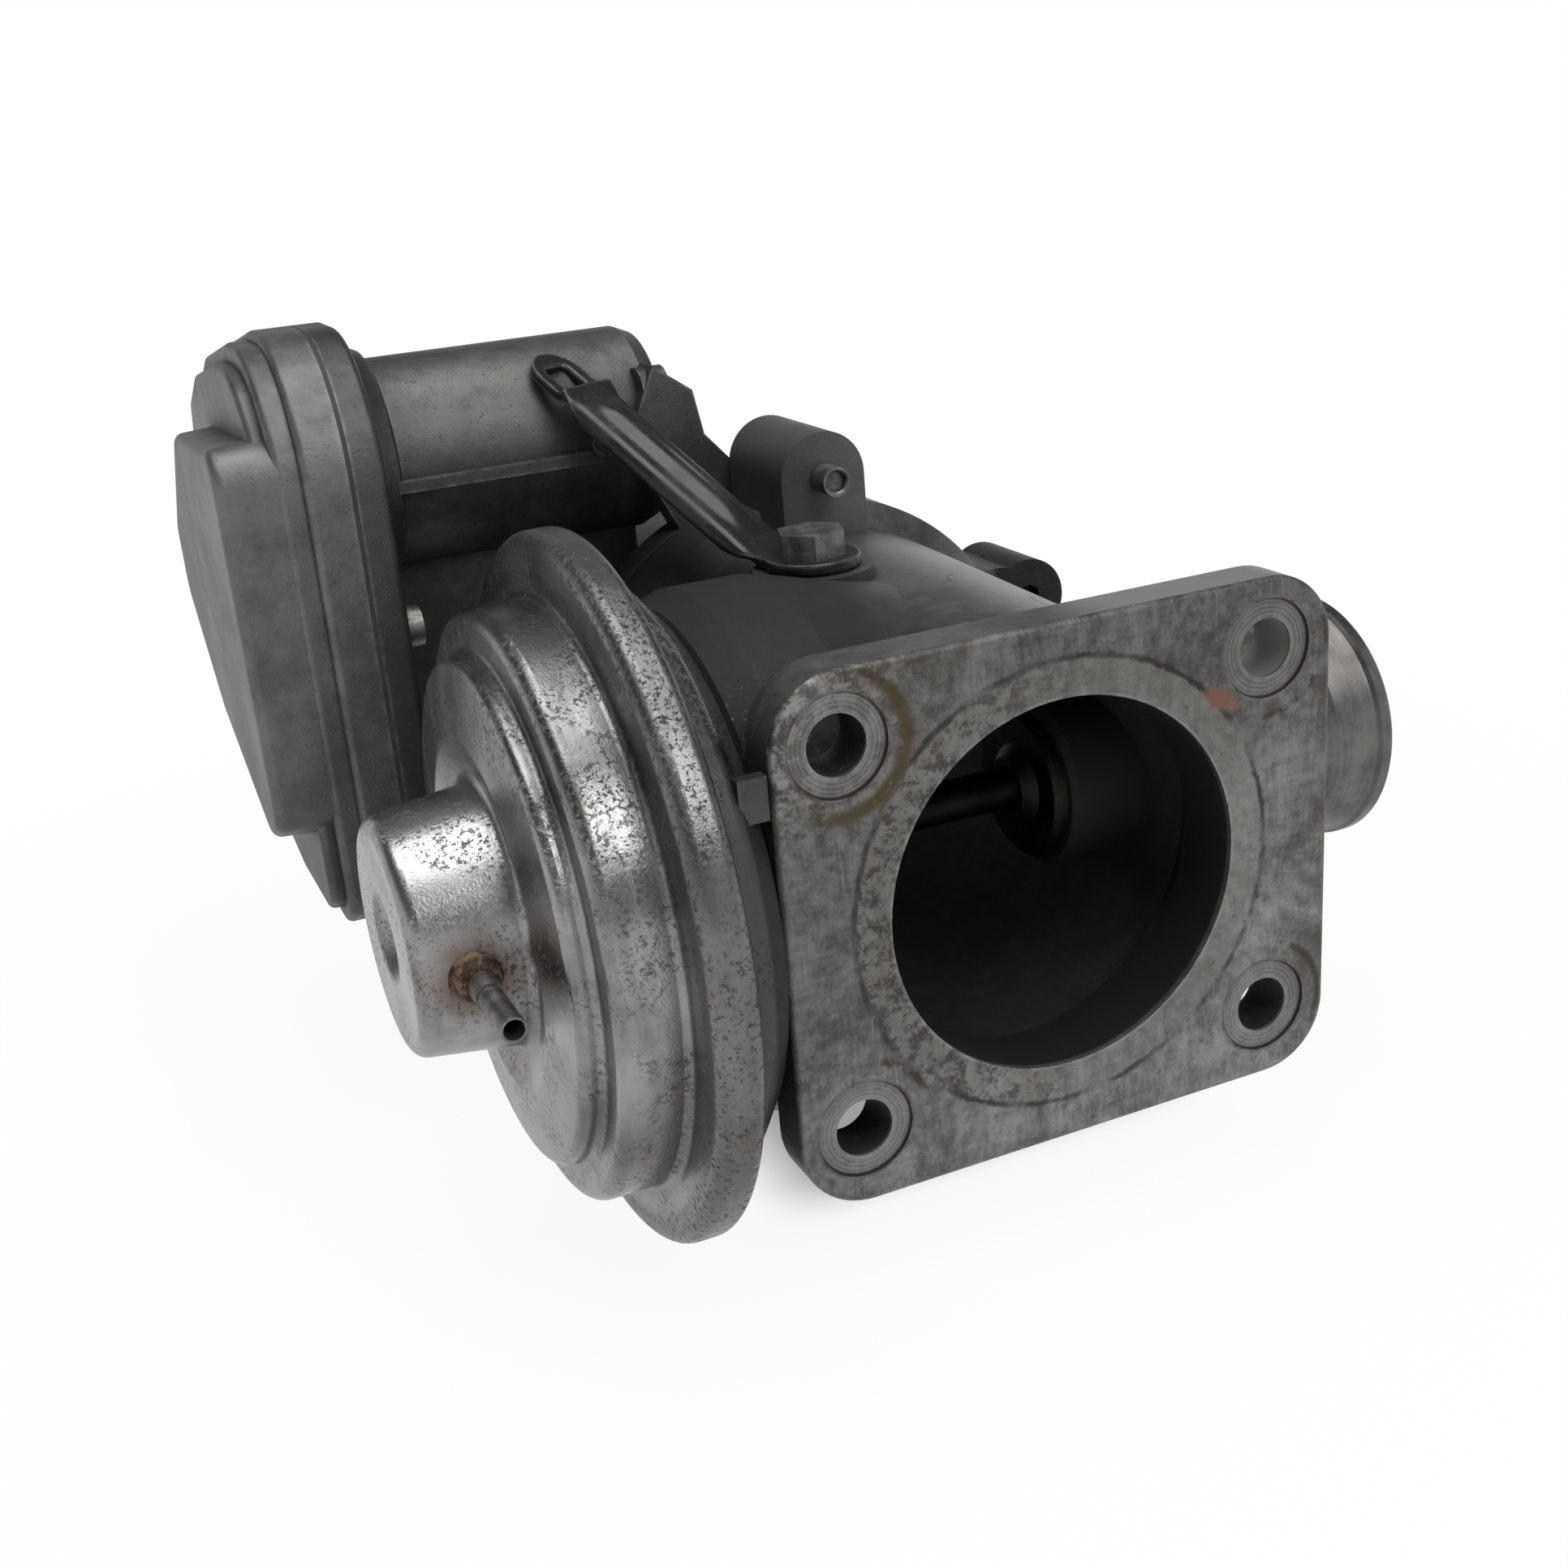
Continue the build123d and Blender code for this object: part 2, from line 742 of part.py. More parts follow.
with BuildPart() as lug_pin:
    rod_y(lug_front_y - pin_reach, lug_front_y + pin_depth, pin_outer / 2, 0, lug_z)
    rod_y(lug_front_y - pin_reach, lug_front_y + pin_depth, pin_inner / 2, 0, lug_z, Mode.SUBTRACT)
    chamfer(lug_pin.edges().filter_by(GeomType.CIRCLE).group_by(Axis.Y)[0][-1], 0.3)
save(lug_pin, "lug_pin")

# ---------------------------------------------------------------- gear case outline
sector_tip_radius = gear_module * (sector_teeth / 2 + addendum)
case_front_y = throttle_y - sector_tip_radius - case_room - case_wall
case_rear_y = throttle_y + case_rear_reach
case_top_z = motor_z + case_shoulder
cap_front_y = case_front_y + cover_deck_inset + 0.3
cap_rear_y = throttle_y + cap_rear_reach
cap_top_z = motor_z + cap_shoulder


def rounded_face(points, corner, front_corner, inset):
    """Outline through points with rounded corners, the second of them its own, moved inwards."""
    with BuildSketch() as outline:
        with BuildLine():
            Polyline(*points, close=True)
        make_face()
        front = outline.vertices().sort_by_distance(Vector(*points[1]))[0]
        fillet(front, front_corner)
        fillet([v for v in outline.vertices() if Vector(v.X, v.Y) in [Vector(*p) for p in points]], corner)
        if inset:
            offset(amount=-inset, mode=Mode.REPLACE)
    return outline.sketch


def case_outline(inset=0.0):
    """Outline of the gear case in (Y, Z), moved inwards by inset."""
    points = [
        (case_front_y, case_bottom_z + 5),
        (case_front_y, case_top_z),
        (motor_y + 4, case_top_z),
        (case_rear_y - 28, case_top_z - 5),
        (case_rear_y - 12, case_top_z - 12),
        (case_rear_y, case_top_z - 29),
        (case_rear_y - 8, 8),
        (case_rear_y - 34, case_bottom_z + 5),
        (case_front_y + 32, case_bottom_z),
        (case_front_y + 8, case_bottom_z),
    ]
    return rounded_face(points, case_corner, case_shoulder - 1, inset)


def cap_outline(inset=0.0):
    """Outline of the raised cap over the idler gear in (Y, Z), moved inwards by inset."""
    points = [
        (cap_front_y, cap_bottom_z + 5),
        (cap_front_y, cap_top_z),
        (cap_rear_y - 26, cap_top_z - 3),
        (cap_rear_y, cap_top_z - 24),
        (cap_rear_y, cap_bottom_z + 32),
        (cap_rear_y - 25, cap_bottom_z + 13),
        (cap_front_y + 10, cap_bottom_z),
    ]
    return rounded_face(points, case_corner, case_corner, inset)


# screw places near the case corners, in (Y, Z)
case_screw_points = [
    (case_front_y + case_screw_inset, case_bottom_z + case_screw_inset + 3),
    (case_front_y + case_screw_inset, case_mid_screw_z),
    (case_rear_y - 36, case_top_z - case_screw_inset - 4),
    (case_rear_y - 14, case_top_z - 23),
    (case_rear_y - 13, 22.0),
    (case_rear_y - 36, case_bottom_z + case_screw_inset + 5),
]

# ---------------------------------------------------------------- gear geometry
centre_sector = gear_module * (sector_teeth + idler_pinion_teeth) / 2
centre_motor = gear_module * (idler_wheel_teeth + pinion_teeth) / 2
motor_distance = sqrt((motor_y - throttle_y) ** 2 + motor_z**2)
motor_bearing = atan2(motor_z, motor_y - throttle_y)
idler_swing = acos(
    (centre_sector**2 + motor_distance**2 - centre_motor**2) / (2 * centre_sector * motor_distance)
)
idler_bearing = motor_bearing - idler_swing
idler_y = throttle_y + centre_sector * cos(idler_bearing)
idler_z = centre_sector * sin(idler_bearing)
idler_to_motor = atan2(motor_z - idler_z, motor_y - idler_y)
motor_screw_points = [
    (motor_y + motor_screw_circle * cos(radians(a)), motor_z + motor_screw_circle * sin(radians(a)))
    for a in (20, 200)
]


def involute(radius, base_radius):
    """Involute function at a radius."""
    if radius <= base_radius:
        return 0.0
    angle = acos(base_radius / radius)
    return tan(angle) - angle


def root_radius(teeth):
    """Radius of the circle at the foot of the teeth."""
    return gear_module * (teeth / 2 - addendum) - tip_clearance


def tooth(teeth):
    """One tooth with involute flanks, pointing along the local X axis of a gear centred at zero."""
    pitch_radius = gear_module * teeth / 2
    base_radius = pitch_radius * cos(radians(pressure_angle))
    tip_radius = pitch_radius + gear_module * addendum
    foot_radius = root_radius(teeth)
    flank_start = max(base_radius, foot_radius)
    half_angle = pi / (2 * teeth) - backlash / (4 * pitch_radius) + involute(pitch_radius, base_radius)
    side = [(foot_radius - 0.3, half_angle)]
    for k in range(4):
        radius = flank_start + (tip_radius - flank_start) * k / 3
        side.append((radius, half_angle - involute(radius, base_radius)))
    with BuildSketch() as form:
        with BuildLine():
            Polyline(
                *[(r * cos(a), r * sin(a)) for r, a in side],
                *[(r * cos(a), -r * sin(a)) for r, a in reversed(side)],
                close=True,
            )
        make_face()
    return form.sketch


def gear_blank(teeth, phase):
    """Whole spur gear outline centred at zero, with a tooth at phase (radians from +Y)."""
    form = tooth(teeth)
    with BuildSketch() as blank:
        Circle(root_radius(teeth))
        with PolarLocations(0, teeth, start_angle=degrees(phase)):
            add(form)
    return blank.sketch


def sector_blank(teeth, phase, lead, count):
    """Toothed sector outline centred at zero; lead teeth lie past phase and the others before it."""
    form = tooth(teeth)
    pitch = 360 / teeth
    start = degrees(phase) + pitch * (lead + 0.5 - count)
    with BuildSketch() as blank:
        with BuildLine():
            rim = CenterArc((0, 0), root_radius(teeth), start, pitch * count)
            Line((0, 0), rim @ 0)
            Line(rim @ 1, (0, 0))
        make_face()
        Circle(sector_hub_radius)
        with PolarLocations(0, count, start + pitch / 2, pitch * (count - 1), endpoint=True):
            add(form)
    return blank.sketch


def plate_x(outline, x_start, x_end, y, z):
    """Solid made from an outline centred at (y, z), between two X values."""
    with BuildSketch(across(x_end)) as section:
        with Locations((y, z)):
            add(outline)
    extrude(section.sketch, amount=x_start - x_end)


# ---------------------------------------------------------------- throttle housing
throttle_flange_end = joint_y + throttle_flange_thickness
pocket_floor_x = case_floor_x - case_floor
idler_boss_x = pocket_floor_x - 2
cap_bore_x = far_boss_end_x - end_cap_height

with BuildPart() as throttle_housing:
    # gear case
    with BuildSketch(across(case_floor_x)):
        add(case_outline())
    extrude(amount=case_part_x - case_floor_x)
    fillet(throttle_housing.faces().sort_by(Axis.X)[-1].edges(), cover_rounding)
    # flange, body and hose spigot
    spigot_radius = throttle_bore / 2 + spigot_wall
    turn(
        [
            (0, joint_y),
            (collar_radius, joint_y),
            (collar_radius, throttle_flange_end),
            (throttle_radius + 2, throttle_flange_end),
            (throttle_radius, throttle_flange_end + 2),
            (throttle_radius, throttle_body_end),
            (spigot_radius, throttle_body_end + 2),
            (spigot_radius, spigot_end - spigot_lead_in),
            (spigot_radius - spigot_lead_in, spigot_end),
            (0, spigot_end),
        ],
        Plane.XY,
        Axis.Y,
    )
    with BuildSketch(along(throttle_flange_end)):
        for x, z in joint_ear_points(joint_ear_circle):
            with Locations((x, z)):
                Circle(joint_ear_radius)
            with Locations((x * 0.85, z * 0.85)):
                Circle(joint_ear_radius + 2)
    extrude(amount=throttle_flange_thickness)
    # shaft bosses
    rod_x(case_floor_x, 0, shaft_boss_radius, throttle_y, 0)
    rod_x(0, far_boss_end_x, far_boss_radius, throttle_y, 0)
    # motor barrel with a collar at the case and a rounded end
    turn(
        [
            (case_floor_x - case_floor / 2, 0),
            (case_floor_x - case_floor / 2, motor_barrel_radius + barrel_collar_flare),
            (case_floor_x, motor_barrel_radius + barrel_collar_flare),
            (barrel_collar_end_x, motor_barrel_radius + barrel_collar_step),
            (barrel_collar_end_x + barrel_collar_step / 2, motor_barrel_radius),
            (motor_barrel_end_x - barrel_end_rounding, motor_barrel_radius),
            (motor_barrel_end_x - barrel_end_rounding * 0.3, motor_barrel_radius - barrel_end_rounding * 0.3),
            (motor_barrel_end_x, motor_barrel_radius - barrel_end_rounding),
            (motor_barrel_end_x, 0),
        ],
        Plane(origin=(0, motor_y, motor_z)),
        Axis((0, motor_y, motor_z), (1, 0, 0)),
    )
    # web between barrel and body
    with BuildSketch(Plane.XY):
        with Locations(
            (
                (barrel_web_start_x + barrel_web_end_x) / 2,
                barrel_web_front_y + barrel_web_thickness / 2,
            )
        ):
            Rectangle(barrel_web_end_x - barrel_web_start_x, barrel_web_thickness)
    extrude(amount=motor_z)
    # ledge and cast nub on the front of the barrel
    with BuildSketch(across(case_floor_x)):
        with Locations((motor_y - (motor_barrel_radius + barrel_lip_reach) / 2, motor_z - barrel_lip / 2)):
            Rectangle(motor_barrel_radius + barrel_lip_reach, barrel_lip)
    extrude(amount=barrel_nub_x - case_floor_x)
    rod_y(motor_y - motor_barrel_radius - 3, motor_y, barrel_nub_radius, barrel_nub_x, barrel_nub_z)
    # gusset from the barrel end to the top of the flange
    with BuildSketch(along(throttle_flange_end)):
        with BuildLine():
            Polyline(
                (motor_barrel_end_x - 10, motor_z),
                (motor_barrel_end_x - 4, motor_z + 13),
                (motor_barrel_end_x + 3, motor_z + 8),
                (motor_barrel_end_x + 4.5, motor_z),
                (gusset_end_x, collar_radius + 3),
                (gusset_end_x, collar_radius - 4),
                (motor_barrel_end_x, collar_radius - 8),
                close=True,
            )
        make_face()
    extrude(amount=throttle_flange_thickness)
    with BuildSketch(across(motor_barrel_end_x - 6)):
        with Locations((throttle_flange_end - 2, motor_z + 8)):
            Circle(4.5)
    extrude(amount=5)
    # duct bore
    rod_y(joint_y, spigot_end, throttle_bore / 2, 0, 0, Mode.SUBTRACT)
    # pocket of the gear case with screw pads and idler boss left standing
    with BuildSketch(across(pocket_floor_x)):
        add(case_outline(case_wall))
        with Locations(*case_screw_points):
            Circle(case_screw_head / 2 + 1.5, mode=Mode.SUBTRACT)
        with Locations((idler_y, idler_z)):
            Circle(idler_pin_diameter, mode=Mode.SUBTRACT)
    extrude(amount=case_part_x - pocket_floor_x, mode=Mode.SUBTRACT)
    rod_x(case_part_x, idler_boss_x, idler_pin_diameter + 0.2, idler_y, idler_z, Mode.SUBTRACT)
    rod_x(case_part_x, case_floor_x - 1, idler_pin_diameter / 2, idler_y, idler_z, Mode.SUBTRACT)
    for y, z in case_screw_points:
        rod_x(case_part_x, case_floor_x, case_screw_thread / 2 + 0.2, y, z, Mode.SUBTRACT)
    # motor seat
    rod_x(
        pocket_floor_x, motor_barrel_end_x - barrel_end_wall, motor_can_radius + motor_can_clearance,
        motor_y, motor_z, Mode.SUBTRACT,
    )
    # shaft bore and bearing seats
    rod_x(pocket_floor_x, far_boss_end_x, shaft_diameter / 2 + 0.3, throttle_y, 0, Mode.SUBTRACT)
    rod_x(pocket_floor_x, pocket_floor_x + bearing_length, bearing_outer / 2, throttle_y, 0, Mode.SUBTRACT)
    rod_x(cap_bore_x - bearing_length, far_boss_end_x, bearing_outer / 2, throttle_y, 0, Mode.SUBTRACT)
    # joint screw holes
    for x, z in joint_ear_points(joint_ear_circle):
        rod_y(joint_y, throttle_flange_end, joint_screw_thread / 2 + 0.2, x, z, Mode.SUBTRACT)
    # motor screw holes
    for y, z in motor_screw_points:
        rod_x(
            pocket_floor_x, pocket_floor_x + motor_screw_length - motor_plate_thickness,
            motor_screw_thread / 2, y, z, Mode.SUBTRACT,
        )
save(throttle_housing, "throttle_housing")

with BuildPart() as joint_screws:
    for x, z in joint_ear_points(joint_ear_circle):
        rod_y(
            throttle_flange_end - joint_screw_length + joint_screw_head_height, throttle_flange_end,
            joint_screw_thread / 2, x, z,
        )
        rod_y(throttle_flange_end, throttle_flange_end + joint_screw_head_height, joint_screw_head / 2, x, z)
        with BuildSketch(along(throttle_flange_end + joint_screw_head_height)):
            with Locations((x, z)):
                RegularPolygon(joint_screw_head / 4, 6)
        extrude(amount=joint_screw_head_height / 2, mode=Mode.SUBTRACT)
save(joint_screws, "joint_screws")

# ---------------------------------------------------------------- gear cover
cover_back_x = case_part_x - gasket_sheet
cap_depth = cover_deck_x - cover_cap_x
cap_draft = cap_depth * tan(radians(cap_draft_angle))

with BuildPart() as cover_gasket:
    with BuildSketch(across(case_part_x)):
        add(case_outline())
        add(case_outline(case_wall), mode=Mode.SUBTRACT)
        with Locations(*case_screw_points):
            Circle(case_screw_head / 2 + 1.5)
            Circle(case_screw_thread / 2 + 0.2, mode=Mode.SUBTRACT)
    extrude(amount=-gasket_sheet)
save(cover_gasket, "cover_gasket")

with BuildPart() as gear_cover:
    # flange, deck and step, each with a rounded front edge
    for start_x, end_x, inset in (
        (cover_back_x, cover_flange_x, 0.0),
        (cover_flange_x, cover_deck_x, cover_deck_inset),
        (cover_deck_x, cover_step_x, cover_step_inset),
    ):
        with BuildSketch(across(start_x)):
            add(case_outline(inset))
        extrude(amount=end_x - start_x)
        fillet(gear_cover.faces().sort_by(Axis.X)[0].edges(), cover_rounding)
    # cap over the idler gear, drawn on its face and widening towards the deck
    with BuildSketch(across(cover_cap_x)):
        add(cap_outline(cap_draft))
    extrude(amount=cap_depth + cover_rounding, taper=-cap_draft_angle)
    fillet(gear_cover.faces().sort_by(Axis.X)[0].edges(), cap_rounding)
    # inside
    for start_x, end_x, inset in (
        (cover_back_x, cover_flange_x, case_wall),
        (cover_flange_x, cover_deck_x, cover_deck_inset + cover_wall),
        (cover_deck_x, cover_step_x, cover_step_inset + cover_wall),
    ):
        with BuildSketch(across(cover_back_x)):
            add(case_outline(inset))
            with Locations(*case_screw_points):
                Circle(case_screw_head / 2 + 1.5, mode=Mode.SUBTRACT)
        extrude(amount=end_x + cover_wall - cover_back_x, mode=Mode.SUBTRACT)
    with BuildSketch(across(cover_cap_x + cover_wall)):
        add(cap_outline(cap_draft + cover_wall))
    extrude(amount=cap_depth, taper=-cap_draft_angle, mode=Mode.SUBTRACT)
    # bearing bosses for the idler pin and the motor shaft
    rod_x(cover_cap_x + cover_wall / 2, wheel_x - 0.8, idler_pin_diameter / 2 + 2, idler_y, idler_z)
    rod_x(cover_cap_x + cover_wall, wheel_x - 0.8, idler_pin_diameter / 2, idler_y, idler_z, Mode.SUBTRACT)
    for y, z in case_screw_points:
        rod_x(
            case_floor_x - case_screw_length, cover_back_x, case_screw_thread / 2, y, z, Mode.SUBTRACT,
        )
save(gear_cover, "gear_cover")

with BuildPart() as case_screws:
    for y, z in case_screw_points:
        rod_x(case_floor_x - case_screw_length, case_floor_x, case_screw_thread / 2, y, z)
        rod_x(case_floor_x, case_floor_x + case_screw_head_height, case_screw_head / 2, y, z)
        with BuildSketch(across(case_floor_x + case_screw_head_height)):
            with Locations((y, z)):
                RegularPolygon(case_screw_head / 4, 6)
        extrude(amount=-case_screw_head_height / 2, mode=Mode.SUBTRACT)
save(case_screws, "case_screws")

# ---------------------------------------------------------------- throttle shaft and flap
shaft_end_x = sector_x - 2.0

with BuildPart() as throttle_shaft:
    rod_x(shaft_end_x, cap_bore_x - 0.6, shaft_diameter / 2, throttle_y, 0)
    with BuildSketch(Plane.XY.offset(-flap_thickness / 2)):
        with Locations((0, throttle_y)):
            Rectangle(throttle_bore - 2 * flap_clearance, shaft_diameter + 2)
    extrude(amount=flap_thickness, mode=Mode.SUBTRACT)
    with BuildSketch(Plane.XY.offset(shaft_diameter / 2)):
        with Locations((-flap_screw_pitch / 2, throttle_y), (flap_screw_pitch / 2, throttle_y)):
            Circle(flap_screw_thread / 2)
    extrude(amount=-shaft_diameter, mode=Mode.SUBTRACT)
    # flats that the flap screws sit on
    with BuildSketch(Plane.XY.offset(shaft_diameter / 2)):
        with Locations((-flap_screw_pitch / 2, throttle_y), (flap_screw_pitch / 2, throttle_y)):
            Rectangle(flap_screw_head + 1, shaft_diameter)
    extrude(amount=-1.2, mode=Mode.SUBTRACT)
save(throttle_shaft, "throttle_shaft")

with BuildPart() as throttle_flap:
    with BuildSketch(Plane.XY.offset(-flap_thickness / 2)):
        with Locations((0, throttle_y)):
            Circle(throttle_bore / 2 - flap_clearance)
            with Locations((-flap_screw_pitch / 2, 0), (flap_screw_pitch / 2, 0)):
                Circle(flap_screw_thread / 2, mode=Mode.SUBTRACT)
    extrude(amount=flap_thickness)
save(throttle_flap, "throttle_flap")

with BuildPart() as flap_screws:
    flap_seat_z = shaft_diameter / 2 - 1.2
    for x in (-flap_screw_pitch / 2, flap_screw_pitch / 2):
        with BuildSketch(Plane.XY.offset(-shaft_diameter / 2)):
            with Locations((x, throttle_y)):
                Circle(flap_screw_thread / 2)
        extrude(amount=shaft_diameter / 2 + flap_seat_z)
        with BuildSketch(Plane.XY.offset(flap_seat_z)):
            with Locations((x, throttle_y)):
                Circle(flap_screw_head / 2)
        extrude(amount=2)
save(flap_screws, "flap_screws")

with BuildPart() as shaft_bearings:
    for x in (pocket_floor_x, cap_bore_x - bearing_length):
        rod_x(x, x + bearing_length, bearing_outer / 2, throttle_y, 0)
        rod_x(x, x + bearing_length, shaft_diameter / 2 + running_clearance, throttle_y, 0, Mode.SUBTRACT)
save(shaft_bearings, "shaft_bearings")

with BuildPart() as shaft_end_cap:
    turn(
        [
            (cap_bore_x, 0),
            (cap_bore_x, bearing_outer / 2),
            (far_boss_end_x, bearing_outer / 2),
            (far_boss_end_x, far_boss_radius - 1),
            (far_boss_end_x + end_cap_lip, far_boss_radius - 1),
            (far_boss_end_x + end_cap_lip + 1.5, far_boss_radius - 3),
            (far_boss_end_x + end_cap_lip + 1.5, 0),
        ],
        Plane(origin=(0, throttle_y, 0)),
        shaft_axis,
    )
save(shaft_end_cap, "shaft_end_cap")

# ---------------------------------------------------------------- gear train
with BuildPart() as sector_gear:
    plate_x(
        sector_blank(sector_teeth, idler_bearing, sector_lead_teeth, sector_cut_teeth),
        sector_x, sector_x + sector_width, throttle_y, 0,
    )
    rod_x(sector_x, sector_x + sector_width, shaft_diameter / 2, throttle_y, 0, Mode.SUBTRACT)
save(sector_gear, "sector_gear")

with BuildPart() as idler_gear:
    pinion_phase = idler_bearing + pi + pi / idler_pinion_teeth
    plate_x(
        gear_blank(idler_pinion_teeth, pinion_phase),
        idler_pinion_x, idler_pinion_x + idler_pinion_width, idler_y, idler_z,
    )
    plate_x(
        gear_blank(idler_wheel_teeth, idler_to_motor), wheel_x, wheel_x + wheel_width, idler_y, idler_z,
    )
    rod_x(wheel_x - 0.5, idler_boss_x - 0.3, idler_hub_radius, idler_y, idler_z)
    rod_x(
        wheel_x - 0.5, idler_boss_x - 0.3, idler_pin_diameter / 2 + running_clearance, idler_y, idler_z,
        Mode.SUBTRACT,
    )
save(idler_gear, "idler_gear")

with BuildPart() as idler_pin:
    rod_x(cover_cap_x + cover_wall, case_floor_x - 1, idler_pin_diameter / 2, idler_y, idler_z)
save(idler_pin, "idler_pin")

with BuildPart() as motor_pinion:
    plate_x(
        gear_blank(pinion_teeth, idler_to_motor + pi + pi / pinion_teeth),
        wheel_x, wheel_x + wheel_width, motor_y, motor_z,
    )
    rod_x(wheel_x, wheel_x + wheel_width, motor_shaft_diameter / 2, motor_y, motor_z, Mode.SUBTRACT)
save(motor_pinion, "motor_pinion")

with BuildPart() as motor_shaft:
    rod_x(wheel_x - 0.5, pocket_floor_x + motor_can_length / 2, motor_shaft_diameter / 2, motor_y, motor_z)
save(motor_shaft, "motor_shaft")

# ---------------------------------------------------------------- motor
with BuildPart() as motor_can:
    turn(
        [
            (pocket_floor_x, 0),
            (pocket_floor_x, motor_can_radius - 1),
            (pocket_floor_x + 1, motor_can_radius),
            (pocket_floor_x + motor_can_length, motor_can_radius),
            (pocket_floor_x + motor_can_length, 4),
            (pocket_floor_x + motor_can_length + 3, 4),
            (pocket_floor_x + motor_can_length + 3, 0),
        ],
        Plane(origin=(0, motor_y, motor_z)),
        Axis((0, motor_y, motor_z), (1, 0, 0)),
    )
    rod_x(
        pocket_floor_x, pocket_floor_x + motor_can_length / 2 + 0.5,
        motor_shaft_diameter / 2 + running_clearance, motor_y, motor_z, Mode.SUBTRACT,
    )
save(motor_can, "motor_can")

with BuildPart() as motor_plate:
    rod_x(pocket_floor_x - motor_plate_thickness, pocket_floor_x, motor_plate_radius, motor_y, motor_z)
    for y, z in motor_screw_points:
        rod_x(
            pocket_floor_x - motor_plate_thickness, pocket_floor_x, motor_screw_thread + 1, y, z,
        )
        rod_x(
            pocket_floor_x - motor_plate_thickness, pocket_floor_x, motor_screw_thread / 2, y, z,
            Mode.SUBTRACT,
        )
    rod_x(
        pocket_floor_x - motor_plate_thickness, pocket_floor_x, motor_shaft_diameter / 2 + 1,
        motor_y, motor_z, Mode.SUBTRACT,
    )
save(motor_plate, "motor_plate")

with BuildPart() as motor_screws:
    plate_face_x = pocket_floor_x - motor_plate_thickness
    for y, z in motor_screw_points:
        rod_x(plate_face_x, plate_face_x + motor_screw_length, motor_screw_thread / 2, y, z)
        rod_x(plate_face_x - 1.6, plate_face_x, motor_screw_thread, y, z)
save(motor_screws, "motor_screws")

# ---------------------------------------------------------------- support bracket and bolt
strip_plane = Plane(
    origin=(bolt_x, bolt_y, bolt_boss_top),
    x_dir=(cos(radians(bracket_bearing)), sin(radians(bracket_bearing)), 0),
    z_dir=(sin(radians(bracket_bearing)), -cos(radians(bracket_bearing)), 0),
)
plan_plane = Plane(
    origin=(bolt_x, bolt_y, bolt_boss_top),
    x_dir=(cos(radians(bracket_bearing)), sin(radians(bracket_bearing)), 0),
    z_dir=(0, 0, 1),
)

slope_angle = degrees(atan2(bracket_slope_rise, bracket_slope_run - bracket_bend_run))
slope_middle = ((bracket_bend_run + bracket_slope_run) / 2, bracket_slope_rise / 2)

with BuildPart() as support_bracket:
    with BuildSketch(strip_plane) as strip:
        with BuildLine():
            FilletPolyline(
                (-bracket_eye_radius - 1, 0),
                (bracket_bend_run, 0),
                (bracket_slope_run, bracket_slope_rise),
                (bracket_end_run, bracket_end_rise),
                radius=[4.0, 3.0],
            )
            offset(amount=bracket_sheet, side=Side.LEFT)
        make_face()
    extrude(strip.sketch, amount=bracket_width, both=True)
    with BuildSketch(plan_plane) as plan:
        Circle(bracket_eye_radius)
        with BuildLine():
            Polyline(
                (0, -bracket_width / 2),
                (bracket_end_run - bracket_end_radius, -bracket_end_radius),
                (bracket_end_run - bracket_end_radius, bracket_end_radius),
                (0, bracket_width / 2),
                close=True,
            )
        make_face()
        with Locations((bracket_end_run - bracket_end_radius - 1, 0)):
            Circle(bracket_end_radius)
            Rectangle(bracket_slot, bracket_slot, mode=Mode.SUBTRACT)
        Circle(bolt_thread / 2 + 0.3, mode=Mode.SUBTRACT)
    extrude(plan.sketch, amount=bracket_end_rise + 6, mode=Mode.INTERSECT)
    # pressed bead along the slope, standing proud of the sheet
    with BuildSketch(strip_plane) as bead:
        with Locations(Location(slope_middle, slope_angle)):
            SlotOverall(bracket_bead_length, 2 * (bracket_sheet + bracket_bead_height))
            Rectangle(
                bracket_bead_length,
                bracket_sheet + bracket_bead_height,
                align=(Align.CENTER, Align.MAX),
                mode=Mode.SUBTRACT,
            )
    extrude(bead.sketch, amount=bracket_bead_width / 2, both=True)
save(support_bracket, "support_bracket")

with BuildPart() as bracket_bolt:
    bolt_seat_z = bolt_boss_top + bracket_sheet
    with BuildSketch(Plane.XY.offset(bolt_seat_z - bolt_length)):
        with Locations((bolt_x, bolt_y)):
            Circle(bolt_thread / 2)
    extrude(amount=bolt_length)
    with BuildSketch(Plane.XY.offset(bolt_seat_z)):
        with Locations((bolt_x, bolt_y)):
            RegularPolygon(bolt_hex / 2, 6, major_radius=False, rotation=12)
    extrude(amount=bolt_head_height)
save(bracket_bolt, "bracket_bolt")
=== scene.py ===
"""Finish, floor, light and camera for the exhaust gas recirculation valve.

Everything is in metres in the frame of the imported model: the origin is the centre of the duct bore in
the manifold flange face, +Y runs along the duct and +Z is up.
"""

import json
from math import cos, pi, radians, sin, sqrt

import bmesh
import bpy
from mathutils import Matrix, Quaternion, Vector


